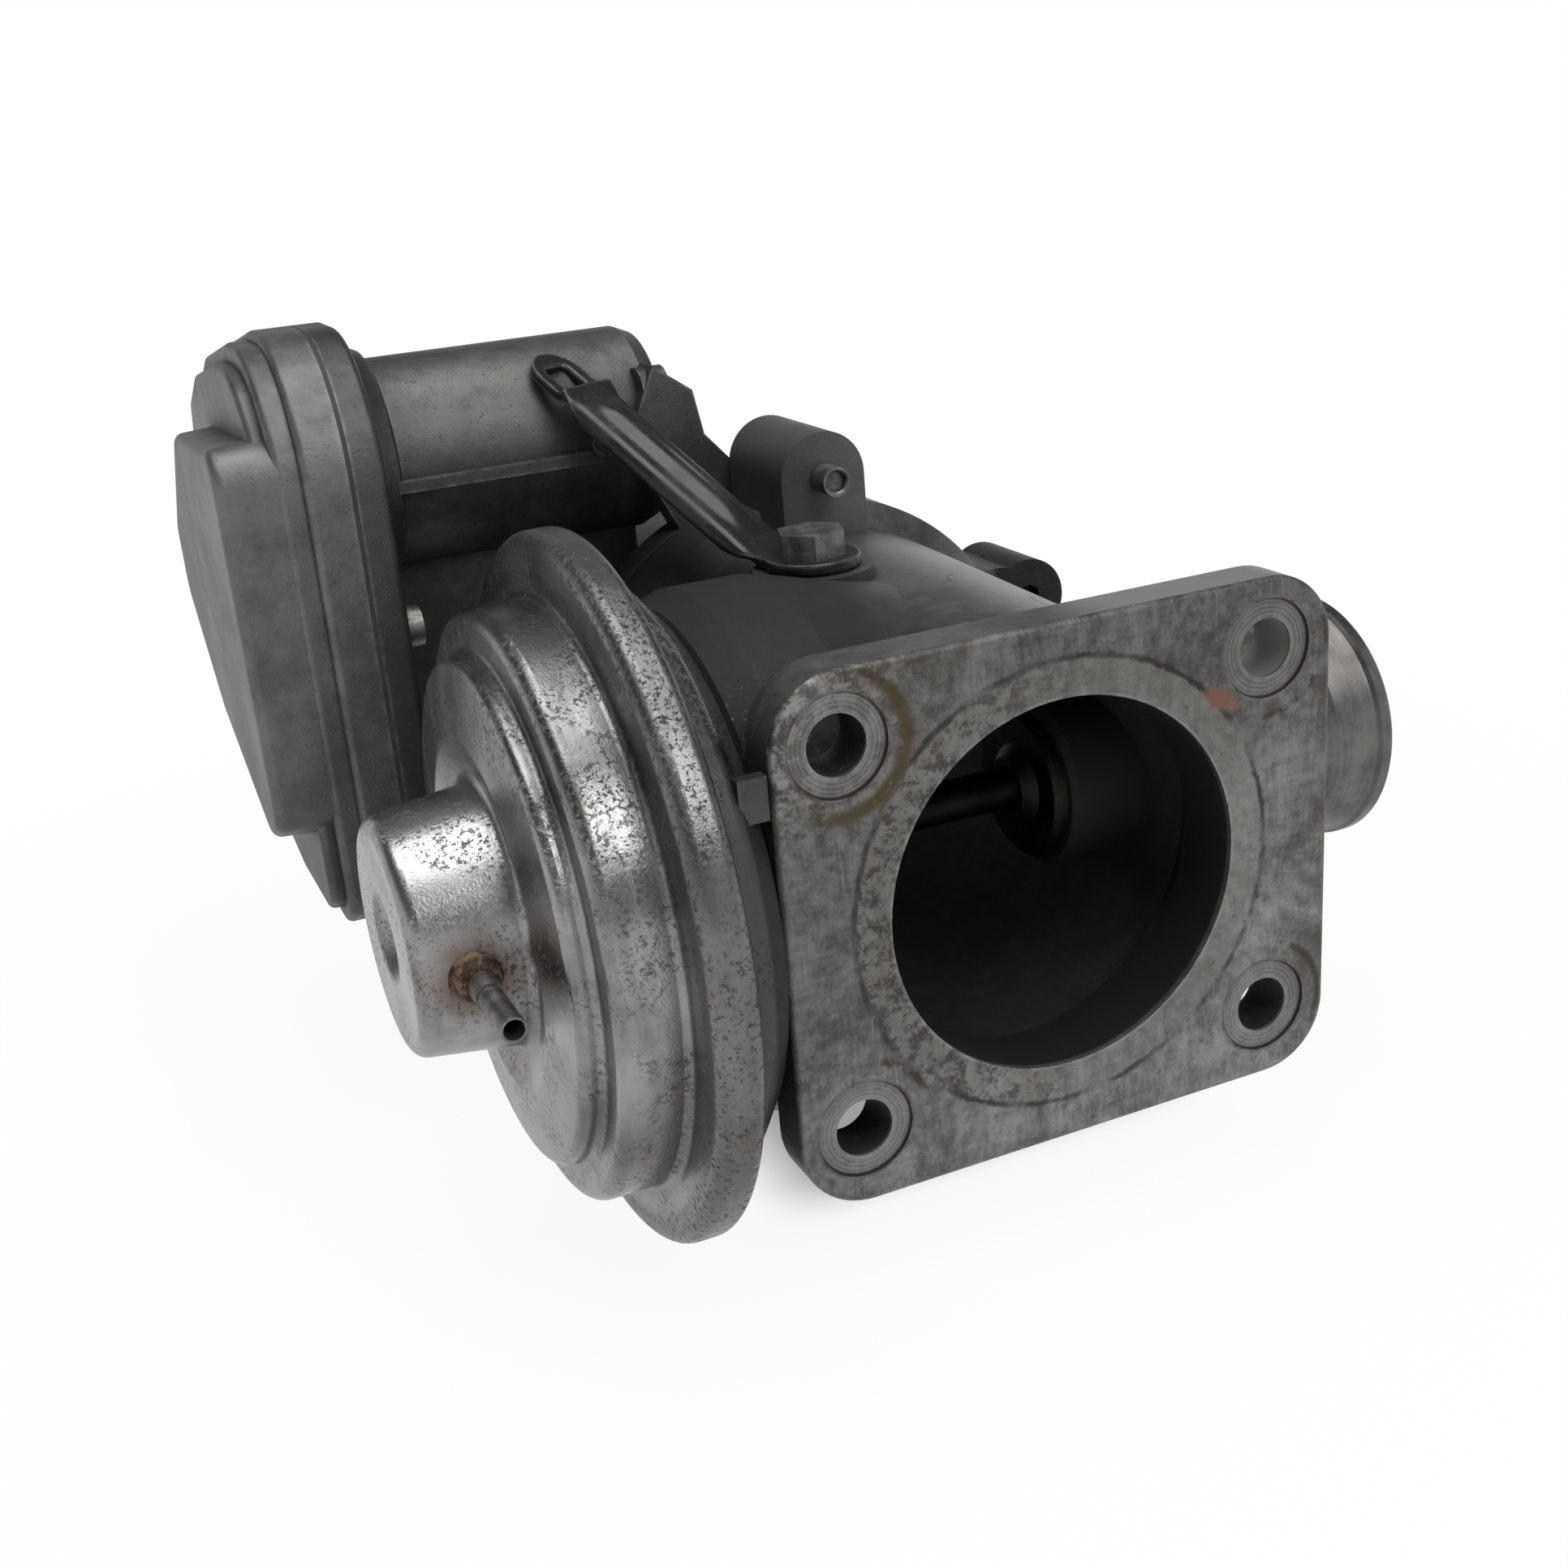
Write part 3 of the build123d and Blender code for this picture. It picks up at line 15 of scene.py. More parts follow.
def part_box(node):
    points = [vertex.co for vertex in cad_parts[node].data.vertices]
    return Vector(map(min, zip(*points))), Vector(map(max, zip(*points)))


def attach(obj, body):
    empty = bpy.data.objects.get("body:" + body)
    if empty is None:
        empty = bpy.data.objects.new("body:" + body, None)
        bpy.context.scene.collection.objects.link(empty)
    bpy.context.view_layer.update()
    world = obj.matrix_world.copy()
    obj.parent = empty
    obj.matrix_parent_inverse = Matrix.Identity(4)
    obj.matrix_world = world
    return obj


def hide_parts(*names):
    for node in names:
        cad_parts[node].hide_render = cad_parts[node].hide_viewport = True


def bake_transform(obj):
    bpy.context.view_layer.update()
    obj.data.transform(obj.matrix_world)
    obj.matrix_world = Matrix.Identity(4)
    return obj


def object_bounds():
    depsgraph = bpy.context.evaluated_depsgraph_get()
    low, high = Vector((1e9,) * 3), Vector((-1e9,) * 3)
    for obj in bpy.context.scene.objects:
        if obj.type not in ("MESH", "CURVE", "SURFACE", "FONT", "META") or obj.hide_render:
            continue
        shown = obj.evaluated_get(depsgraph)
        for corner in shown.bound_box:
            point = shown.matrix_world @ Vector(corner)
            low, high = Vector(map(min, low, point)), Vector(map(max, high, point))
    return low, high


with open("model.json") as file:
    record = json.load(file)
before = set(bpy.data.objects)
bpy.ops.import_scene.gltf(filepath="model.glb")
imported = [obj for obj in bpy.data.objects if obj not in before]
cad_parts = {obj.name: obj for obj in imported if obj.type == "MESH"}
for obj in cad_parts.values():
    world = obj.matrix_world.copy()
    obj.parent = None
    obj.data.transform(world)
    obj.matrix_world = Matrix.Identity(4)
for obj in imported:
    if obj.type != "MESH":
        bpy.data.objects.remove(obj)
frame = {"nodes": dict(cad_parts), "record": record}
cad_low, cad_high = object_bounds()
nodes = frame["nodes"]

MM = 0.001

# ---------------------------------------------------------------- places the finishes refer to
cast_bore_radius = 31.25 * MM
gasket_ring_radius = 34.6 * MM
flange_hole_x = 35.0 * MM
flange_hole_z = 29.3 * MM
spot_face_radius = 7.6 * MM
washer_mark_radius = 10.4 * MM
valve_axis_y = 40.0 * MM
braze_x = -83.0 * MM
braze_y = 21.0 * MM
rim_start_radius = 49.0 * MM
cup_radius = 24.0 * MM
stain_radius = 10.3 * MM
sealant_x = 26.8 * MM
sealant_z = 23.2 * MM
ejector_mark_radius = 4.4 * MM
turning_marks_per_metre = 9000.0

# ---------------------------------------------------------------- sizes of the pieces made here
# bracket arm: its runs from the bolt, its rise and its widths are in mm
bolt_x = -12.5 * MM
bolt_y = 54.0 * MM
bolt_seat_z = 41.5 * MM
bracket_bearing = radians(115.5)
eye_radius = 7.8
arm_half_width = 5.9
least_half_width = 0.4
arm_bend_run = 8.5
arm_bend = 4.0
arm_end_run = 49.5
arm_rise = 25.5
fold_run = 48.0
fold_lip = 1.0
fold_drop = 2.1
tab_half_width = 4.9
tab_centre_run = 53.6
slot_start_run = 49.8
slot_end_run = 55.6
slot_width_share = 0.52
arm_sheet = 1.7 * MM

# core in the end of the lug's pin
pin_core_radius = 1.75 * MM
pin_recess = 1.1 * MM
pin_core_length = 2.0 * MM

# rib beside the gear case
rib_x = (-71.5 * MM, -57.0 * MM)
rib_y = 114.0 * MM
rib_bottom_z = 4.0 * MM
rib_top_z = 44.0 * MM
rib_bottom_half = 2.6 * MM
rib_top_half = 1.9 * MM
rib_edge = 0.8 * MM


# ---------------------------------------------------------------- shader building
class Value:
    """A number that varies over a surface; arithmetic on it adds Math nodes."""

    def __init__(self, finish, socket):
        self.finish = finish
        self.socket = socket

    def math(self, operation, *others):
        node = self.finish.tree.nodes.new("ShaderNodeMath")
        node.operation = operation
        for entry, value in zip(node.inputs, (self, *others)):
            self.finish.feed(entry, value)
        return Value(self.finish, node.outputs[0])

    def __add__(self, other):
        return self.math("ADD", other)

    __radd__ = __add__

    def __mul__(self, other):
        return self.math("MULTIPLY", other)

    __rmul__ = __mul__

    def __sub__(self, other):
        return self.math("SUBTRACT", other)

    def __rsub__(self, other):
        return self * -1.0 + other

    def __pow__(self, other):
        return self.math("POWER", other)

    def root(self):
        return self.math("SQRT")

    def abs(self):
        return self.math("ABSOLUTE")

    def least(self, other):
        return self.math("MINIMUM", other)

    def most(self, other):
        return self.math("MAXIMUM", other)

    def rise(self, low, high):
        """0 below low, 1 above high and smooth between them; falls instead where low is above high."""
        return self.finish.node(
            "ShaderNodeMapRange",
            {"interpolation_type": "SMOOTHSTEP"},
            {"Value": self, "From Min": low, "From Max": high},
        )


class Finish:
    """A material being built round one Principled shader."""

    def __init__(self, name):
        self.material = bpy.data.materials.new(name)
        self.material.use_nodes = True
        self.tree = self.material.node_tree
        self.shader = self.tree.nodes["Principled BSDF"]
        self.place = self.node("ShaderNodeTexCoord", {}, {}, "Object")
        split = self.tree.nodes.new("ShaderNodeSeparateXYZ")
        self.feed(split.inputs[0], self.place)
        self.x, self.y, self.z = (Value(self, output) for output in split.outputs)

    def feed(self, entry, value):
        """Link a value to a socket, or write a constant there."""
        if isinstance(value, Value):
            self.tree.links.new(value.socket, entry)
        else:
            entry.default_value = value

    def node(self, kind, settings, entries, output=0):
        """Any other node: its settings are set first, then its sockets are fed."""
        node = self.tree.nodes.new(kind)
        for name, setting in settings.items():
            setattr(node, name, setting)
        for name, value in entries.items():
            self.feed(node.inputs[name], value)
        return Value(self, node.outputs[output])

    def noise(self, scale, detail=4.0, roughness=0.55, vector=None, distortion=0.0):
        """Noise of a scale per metre, from 0 to 1."""
        return self.node(
            "ShaderNodeTexNoise",
            {"noise_dimensions": "3D"},
            {
                "Vector": vector or self.place,
                "Scale": scale,
                "Detail": detail,
                "Roughness": roughness,
                "Distortion": distortion,
            },
        )

    def cells(self, scale):
        """Distance to the nearest of scattered points, in cells."""
        return self.node("ShaderNodeTexVoronoi", {}, {"Vector": self.place, "Scale": scale})

    def region(self, **spans):
        """Mask of a region; each axis named has the places, in mm, where it starts and where it is full."""
        edges = [getattr(self, axis).rise(start * MM, full * MM) for axis, (start, full) in spans.items()]
        mask = edges[0]
        for edge in edges[1:]:
            mask = mask * edge
        return mask

    def stretch(self, scale, turn=(0.0, 0.0, 0.0)):
        """Object coordinates turned and stretched, for scratches that run one way."""
        return self.node(
            "ShaderNodeMapping", {}, {"Vector": self.place, "Rotation": turn, "Scale": scale}
        )

    def mix(self, factor, first, second):
        """Colour mix; either colour may be a constant triple."""
        node = self.tree.nodes.new("ShaderNodeMix")
        node.data_type = "RGBA"
        self.feed(node.inputs[0], factor)
        for entry, colour in ((node.inputs[6], first), (node.inputs[7], second)):
            self.feed(entry, colour if isinstance(colour, Value) else (*colour, 1.0))
        return Value(self, node.outputs[2])

    def crevice(self, distance):
        """1 in the open and towards 0 in corners narrower than the distance."""
        return self.node(
            "ShaderNodeAmbientOcclusion", {"samples": 6}, {"Distance": distance}, "AO"
        )

    def bump(self, height, distance, strength=1.0, below=None):
        """Surface relief whose full height is the distance, in metres."""
        entries = {"Height": height, "Distance": distance, "Strength": strength}
        if below is not None:
            entries["Normal"] = below
        return self.node("ShaderNodeBump", {}, entries)

    def set(self, **entries):
        """Feed sockets of the shader by name."""
        for name, value in entries.items():
            entry = self.shader.inputs[name.replace("_", " ")]
            if not isinstance(value, Value) and isinstance(value, tuple):
                value = (*value, 1.0)
            self.feed(entry, value)
        return self.material


# ---------------------------------------------------------------- finishes
def cast_skin(finish, light, dark, reach=9.0 * MM):
    """Colour, roughness and relief that all the castings share; dirt and painted shade darken corners within
    reach.
    """
    cloud = finish.noise(38.0, 7.0, 0.6)
    mottle = finish.noise(260.0, 5.0, 0.65)
    grain = finish.noise(2400.0, 3.0, 0.6)
    pit = finish.cells(900.0).rise(0.22, 0.08) * finish.noise(150.0).rise(0.5, 0.62)
    # painted shade with dirt: corners within reach are darkened
    openness = finish.crevice(reach)
    corner_dirt_and_shade = 1.0 - openness.rise(0.20, 0.95)
    stain = finish.noise(75.0, 6.0, 0.65).rise(0.55, 0.72)
    tone = (cloud * 0.6 + mottle * 0.4).rise(0.36, 0.64)
    colour = finish.mix(tone, dark, light)
    colour = finish.mix(stain * 0.35, colour, (0.085, 0.078, 0.066))
    colour = finish.mix((corner_dirt_and_shade * 0.85 + pit * 0.4).least(0.94), colour, (0.020, 0.019, 0.019))
    rough = 0.42 + mottle * 0.16 + corner_dirt_and_shade * 0.25 - tone * 0.06
    spot = finish.noise(700.0, 4.0, 0.65).rise(0.60, 0.70) * stain
    colour = finish.mix(spot * 0.5, colour, (0.035, 0.031, 0.027))
    relief = finish.bump(grain, 0.12 * MM, 0.55)
    relief = finish.bump(mottle - pit * 0.5, 0.22 * MM, 0.5, relief)
    return colour, rough, relief, corner_dirt_and_shade


def round_mark(first, second, radius, width):
    """Mask of a thin ring about the point where both coordinates are zero."""
    return ((first * first + second * second).root() - radius).abs().rise(width, width * 0.3)


def duct_colour(finish, colour, film_and_shade):
    """Painted light on the duct top, dull lug, painted shade on the far ear, a dark oily coat with painted
    shade towards the can and dust behind the flange.
    """
    # painted light: the top of the duct is lighter
    lit_duct_top = finish.region(x=(-2, 12), z=(18, 26), y=(80, 60))
    colour = finish.mix(lit_duct_top * 0.8, colour, (0.36, 0.357, 0.35))
    lug = finish.region(z=(36, 41), y=(66, 70))
    colour = finish.mix(lug * 0.75, colour, (0.125, 0.121, 0.120))
    # painted shade: the far ear is darkened
    shaded_far_ear = finish.region(x=(38, 40), y=(74, 77))
    colour = finish.mix(shaded_far_ear * 0.85, colour, (0.020, 0.019, 0.019))
    # dark oily coat with painted shade towards the can
    colour = finish.mix(film_and_shade, colour, (0.014, 0.0135, 0.016))
    dust = finish.noise(1100.0, 4.0, 0.7).rise(0.60, 0.70) * finish.region(y=(26, 11), x=(0, -25))
    return finish.mix(dust * 0.6, colour, (0.26, 0.255, 0.24))


def ejector_marks(finish):
    """Mask of a round mark and half of another on top of the duct."""
    x, y = finish.x, finish.y
    whole = round_mark(x - 16.0 * MM, y - 26.0 * MM, ejector_mark_radius, 0.5 * MM)
    half = round_mark(x - 8.0 * MM, y - 38.0 * MM, ejector_mark_radius, 0.4 * MM)
    half = half * x.rise(8.0 * MM, 6.0 * MM)
    return whole.most(half) * finish.z.rise(20.0 * MM, 26.0 * MM)


def flange_stains(finish, colour):
    """Oil stain along the upper left washer print and a smear of sealant by the upper right hole."""
    across = finish.x + flange_hole_x
    up = finish.z - flange_hole_z
    stain = ((across ** 2.0 + up ** 2.0).root() - stain_radius).abs().rise(1.7 * MM, 0.4 * MM)
    stain = stain * (across - up * 0.6).rise(-5.0 * MM, 6.0 * MM)
    stain = stain * mottled(finish).rise(0.28, 0.48)
    colour = finish.mix(stain * 0.9, colour, (0.072, 0.053, 0.023))
    across = finish.x - sealant_x
    up = finish.z - sealant_z
    sealant = (across ** 2.0 * 0.35 + (up + across * 0.45) ** 2.0).root()
    sealant = (sealant + (mottled(finish) - 0.5) * 2.6 * MM).rise(2.1 * MM, 1.1 * MM)
    return finish.mix(sealant * 0.85, colour, (0.21, 0.105, 0.070))


def flange_face(finish, blotch, grainy):
    """Colour, roughness and relief height of the machined face."""
    x, z = finish.x, finish.z
    from_bore = (x * x + z * z).root()
    lay = finish.noise(1.0, 7.0, 0.75, finish.stretch((1100.0, 90.0, 260.0), (0.0, radians(-24.0), 0.0)))
    cross = finish.noise(1.0, 6.0, 0.7, finish.stretch((260.0, 90.0, 1300.0), (0.0, radians(12.0), 0.0)))
    fleck = finish.noise(700.0, 4.0, 0.65).rise(0.57, 0.67) * finish.noise(120.0, 4.0).rise(0.44, 0.62)
    dirt = finish.noise(34.0, 7.0, 0.68, None, 0.6).rise(0.52, 0.68)

    # clouded metal, lighter towards the lower right, with scratches and a painted sparkle on the upper left
    # corner
    tone = (lay * 0.20 + blotch * 0.38 + cross * 0.10 + grainy * 0.32).rise(0.40, 0.61)
    low_side = (x * 0.5 - z).rise(-30.0 * MM, 40.0 * MM)
    dark = finish.mix(low_side, (0.055, 0.052, 0.048), (0.095, 0.092, 0.087))
    light = finish.mix(low_side, (0.19, 0.185, 0.175), (0.30, 0.295, 0.285))
    colour = finish.mix(tone, dark, light)
    colour = finish.mix(dirt * 0.55, colour, (0.060, 0.052, 0.042))
    scratch = finish.noise(1.0, 2.0, 0.4, finish.stretch((3200.0, 90.0, 60.0), (0.0, radians(-20.0), 0.0)))
    colour = finish.mix(scratch.rise(0.66, 0.73) * 0.4, colour, (0.34, 0.335, 0.32))
    # painted sparkle: grainy flecks lighten the upper left corner
    painted_sparkle_corner = finish.region(x=(-18, -44), z=(8, 36)) * grainy.rise(0.44, 0.58)
    colour = finish.mix(painted_sparkle_corner * 0.7, colour, (0.36, 0.352, 0.335))

    # the gasket's ring: lighter and eaten inside, with a broken dark line along it
    inside_ring = from_bore.rise(gasket_ring_radius, gasket_ring_radius - 0.8 * MM)
    eaten = inside_ring * finish.noise(330.0, 9.0, 0.85).rise(0.49, 0.58)
    eaten = eaten * (0.25 + 0.75 * x.rise(10.0 * MM, -20.0 * MM))
    colour = finish.mix(inside_ring * 0.45, colour, (0.23, 0.22, 0.205))
    colour = finish.mix(eaten * 0.7, colour, (0.045, 0.038, 0.030))
    wander = (mottled(finish) - 0.5) * 1.4 * MM
    ring_line = (from_bore - gasket_ring_radius + wander).abs().rise(0.75 * MM, 0.15 * MM)
    ring_line = ring_line * finish.noise(90.0, 5.0).rise(0.36, 0.58)
    colour = finish.mix(ring_line * 0.85, colour, (0.030, 0.026, 0.022))
    colour = finish.mix(fleck * 0.6, colour, (0.045, 0.040, 0.034))

    # turned seats and washer prints round the four holes, darker at their rims
    from_hole = ((x.abs() - flange_hole_x) ** 2.0 + (z.abs() - flange_hole_z) ** 2.0).root()
    seat = from_hole.rise(spot_face_radius + 0.1 * MM, spot_face_radius - 0.1 * MM)
    turning = (from_hole * turning_marks_per_metre).math("SINE") * 0.5 + 0.5
    seat_colour = finish.mix(turning, (0.13, 0.126, 0.118), (0.24, 0.233, 0.222))
    colour = finish.mix(seat * 0.5, colour, seat_colour)
    seat_rim = (from_hole - spot_face_radius).abs().rise(0.6 * MM, 0.1 * MM)
    print_rim = (from_hole - washer_mark_radius).abs().rise(0.9 * MM, 0.2 * MM) * dirt.rise(0.0, 0.4)
    colour = finish.mix((seat_rim * 0.75).most(print_rim * 0.8), colour, (0.042, 0.034, 0.025))

    colour = flange_stains(finish, colour)
    rough = 0.40 + blotch * 0.22 + eaten * 0.2
    height = lay * 0.5 - eaten * 0.6 - fleck * 0.4 + seat * turning * 0.12 - seat_rim * 0.5
    return colour, rough, height


def valve_casting():
    """Sand cast body with a machined flange face and a sooty bore."""
    finish = Finish("valve_casting")
    y = finish.y
    colour, rough, relief, corner_dirt_and_shade = cast_skin(finish, (0.185, 0.181, 0.175), (0.075, 0.073, 0.072), 14.0 * MM)
    # dark oily coat with painted shade on the duct's side towards the can
    film_and_shade = finish.region(x=(6, -20), z=(-20, 16), y=(10, 15))
    film_and_shade = (film_and_shade * (0.80 + 0.4 * finish.noise(90.0, 5.0))).least(0.95)
    colour = duct_colour(finish, colour, film_and_shade)
    marks = ejector_marks(finish)
    colour = finish.mix(marks * 0.55, colour, (0.05, 0.048, 0.046))

    # machined face
    face = y.rise(1.1 * MM, 0.7 * MM)
    grainy = finish.noise(430.0, 7.0, 0.75)
    blotch = finish.noise(55.0, 7.0, 0.62)
    face_colour, face_rough, face_height = flange_face(finish, blotch, grainy)
    colour = finish.mix(face, colour, face_colour)
    rough = rough * (1.0 - face) + face_rough * face
    relief = finish.bump(face_height * face - marks * 2.0, 0.12 * MM, 0.8, relief)

    # grainy cast side of the flange next to the can, and its worn edge
    side = finish.region(y=(11.5, 10.5), x=(-45.6, -46.4)) * (1.0 - face)
    colour = finish.mix(side * (0.4 + 0.6 * grainy.rise(0.42, 0.58)), colour, (0.33, 0.325, 0.31))
    worn = edge_wear(finish, 1.2 * MM) * y.rise(12.0 * MM, 10.0 * MM)
    colour = finish.mix(worn * 0.6, colour, (0.36, 0.352, 0.335))

    # soot in the bore
    from_bore = (finish.x * finish.x + finish.z * finish.z).root()
    soot = from_bore.rise(cast_bore_radius + 0.5 * MM, cast_bore_radius - 0.2 * MM)
    soot = soot * y.rise(0.4 * MM, 1.4 * MM)
    soot_colour = finish.mix(blotch, (0.003, 0.0028, 0.0036), (0.008, 0.0075, 0.009))
    colour = finish.mix(soot, colour, soot_colour)
    rough = rough * (1.0 - soot) + (0.62 + blotch * 0.2) * soot
    film_and_shade_off_face = film_and_shade * (1.0 - face)
    rough = rough + film_and_shade_off_face * 0.22
    metal = 0.85 - soot * 0.8 - corner_dirt_and_shade * 0.3 - film_and_shade_off_face * 0.55
    return finish.set(Base_Color=colour, Roughness=rough, Metallic=metal.most(0.0), Normal=relief)


def mottled(finish):
    """Fine cloud that breaks the outline of a stain."""
    return finish.noise(520.0, 4.0, 0.6)


def edge_wear(finish, radius):
    """1 on outside edges sharper than the radius, from how much a rounded normal leaves the true one."""
    rounded = finish.node("ShaderNodeBevel", {"samples": 6}, {"Radius": radius})
    true = finish.node("ShaderNodeNewGeometry", {}, {}, "True Normal")
    both = {0: rounded, 1: true}
    product = finish.node("ShaderNodeVectorMath", {"operation": "DOT_PRODUCT"}, both, "Value")
    openness = finish.crevice(3.0 * MM).rise(0.75, 0.98)
    return product.rise(0.985, 0.90) * openness * finish.noise(260.0, 5.0, 0.65).rise(0.35, 0.60)


def throttle_casting():
    """Die cast body and gear case, smoother than the valve body."""
    finish = Finish("throttle_casting")
    colour, rough, relief, corner_dirt_and_shade = cast_skin(finish, (0.150, 0.146, 0.139), (0.075, 0.073, 0.069), 22.0 * MM)
    from_axis = (finish.x * finish.x + finish.z * finish.z).root()
    soot = from_axis.rise(29.3 * MM, 29.0 * MM)
    colour = finish.mix(soot * 0.9, colour, (0.012, 0.011, 0.011))
    # painted shade: the side of the gear case is darker
    shaded_case_side = finish.x.rise(-66.0 * MM, -69.0 * MM)
    colour = finish.mix(shaded_case_side * 0.5, colour, (0.042, 0.040, 0.039))
    # painted shade: the front of the motor barrel is darker
    shaded_barrel_front = finish.region(y=(108, 100), z=(44, 50)) * (1.0 - shaded_case_side)
    colour = finish.mix(shaded_barrel_front * 0.40, colour, (0.050, 0.048, 0.046))
    # painted shade: the far ear is darkened
    shaded_far_ear = finish.x.rise(38.0 * MM, 40.0 * MM)
    colour = finish.mix(shaded_far_ear * 0.8, colour, (0.022, 0.021, 0.021))
    worn = edge_wear(finish, 1.0 * MM)
    colour = finish.mix(worn * 0.45, colour, (0.33, 0.325, 0.31))
    metal = (0.85 - corner_dirt_and_shade * 0.35 - soot * 0.7).most(0.0)
    return finish.set(Base_Color=colour, Roughness=rough, Metallic=metal, Normal=relief)


def cover_casting():
    """Die cast gear cover with rubbed edges."""
    finish = Finish("cover_casting")
    colour, rough, relief, corner_dirt_and_shade = cast_skin(finish, (0.168, 0.170, 0.165), (0.094, 0.095, 0.092), 6.0 * MM)
    # painted shade: the cover is darker low down
    lower = (finish.z * -1.0).rise(-25.0 * MM, 15.0 * MM)
    colour = finish.mix(lower * 0.5, colour, (0.052, 0.051, 0.049))
    front = finish.y.rise(76.0 * MM, 62.0 * MM)
    colour = finish.mix(front * 0.35, colour, (0.060, 0.060, 0.058))
    worn = edge_wear(finish, 2.2 * MM)
    colour = finish.mix(worn * 0.35, colour, (0.30, 0.305, 0.295))
    side_wall = finish.region(x=(-96.6, -95.9), y=(74, 66))
    colour = finish.mix(side_wall * 0.3, colour, (0.055, 0.055, 0.053))
    metal = (0.85 - corner_dirt_and_shade * 0.35).most(0.0)
    return finish.set(Base_Color=colour, Roughness=rough + 0.05, Metallic=metal, Normal=relief)


def plating_colour(finish, cloud, from_axis, rim):
    """Streaked zinc: blue and straw tints low down, a bright cup, rims dull from pits, and painted shade
    darkening the lower part, the low rim and the crown.
    """
    down = finish.z * -1.0
    lower = down.rise(-6.0 * MM, 20.0 * MM)
    streak = finish.noise(1.0, 5.0, 0.6, finish.stretch((420.0, 60.0, 60.0)))
    tint = finish.noise(42.0, 3.0, 0.5)
    tone = (cloud * 0.7 + streak * 0.3).rise(0.35, 0.65)
    colour = finish.mix(tone, (0.150, 0.147, 0.142), (0.36, 0.357, 0.348))
    colour = finish.mix(tint.rise(0.50, 0.66) * lower * 0.55, colour, (0.120, 0.116, 0.150))
    colour = finish.mix(tint.rise(0.47, 0.32) * lower * 0.55, colour, (0.19, 0.150, 0.105))
    # painted shade: the lower part is darker
    colour = finish.mix(down.rise(-4.0 * MM, 30.0 * MM) * 0.6, colour, (0.078, 0.072, 0.065))
    cup = from_axis.rise(cup_radius, cup_radius - 3.0 * MM) * finish.region(z=(-6, 6), x=(-91.3, -90))
    colour = finish.mix(cup * 0.55, colour, (0.44, 0.438, 0.432))
    # the rims are dull from pits; the extra darkening of the low rim and of the crown is painted shade
    shaded_low_rim = rim * down.rise(28.0 * MM, 44.0 * MM)
    dull = (rim * 0.55 + shaded_low_rim * 0.35).most(finish.z.rise(18.0 * MM, 44.0 * MM) * 0.35)
    return finish.mix(dull, colour, (0.095, 0.092, 0.088))


def pitted_plating():
    """Zinc plated pressing, bright on the crowns, dull, pitted and heat tinted elsewhere, with painted shade
    in corners and low down.
    """
    finish = Finish("pitted_plating")
    cloud = finish.noise(55.0, 6.0, 0.6)
    across = finish.y - valve_axis_y
    from_axis = (across ** 2.0 + finish.z * finish.z).root()
    rim = from_axis.rise(rim_start_radius, rim_start_radius + 2.0 * MM)
    colour = plating_colour(finish, cloud, from_axis, rim)

    # rust in patches and round the braze, pits, specks, and dirt with painted shade in corners
    from_braze = (finish.x - braze_x) ** 2.0 + (finish.y - braze_y) ** 2.0 + finish.z * finish.z
    scorch = from_braze.root().rise(9.0 * MM, 4.0 * MM) * 0.8 * cloud.rise(0.3, 0.6)
    rust = (finish.noise(140.0, 6.0, 0.65).rise(0.60, 0.72) * 0.22 + scorch).least(1.0)
    pit_field = (finish.noise(90.0, 4.0).rise(0.42, 0.58) * 0.75 + rim * 0.6).least(1.0)
    pits = finish.noise(1150.0, 7.0, 0.8).rise(0.53, 0.62) * pit_field
    speck = finish.cells(1300.0).rise(0.20, 0.10) * finish.noise(300.0).rise(0.5, 0.6)
    corner_dirt_and_shade = 1.0 - finish.crevice(4.0 * MM).rise(0.25, 0.92)
    colour = finish.mix(rust, colour, (0.15, 0.098, 0.060))
    colour = finish.mix((pits * 0.75 + speck * 0.6).least(0.9), colour, (0.040, 0.036, 0.032))
    colour = finish.mix(corner_dirt_and_shade * 0.65, colour, (0.040, 0.036, 0.033))

    # dull tab clamped behind the flange
    tab = finish.region(x=(-54.2, -53.4), y=(7, 5))
    colour = finish.mix(tab * 0.9, colour, (0.060, 0.058, 0.055))

    rough = 0.20 + cloud * 0.14 + pits * 0.3 + corner_dirt_and_shade * 0.2 + rust * 0.3 + rim * 0.06 + tab * 0.2
    relief = finish.bump(1.0 - pits - speck * 0.5, 0.07 * MM, 0.7)
    relief = finish.bump(finish.noise(2600.0, 3.0, 0.6), 0.06 * MM, 0.7, relief)
    relief = finish.bump(finish.noise(320.0, 3.0), 0.10 * MM, 0.25, relief)
    metal = 1.0 - corner_dirt_and_shade * 0.3 - rust * 0.5
    return finish.set(Base_Color=colour, Roughness=rough, Metallic=metal, Normal=relief)


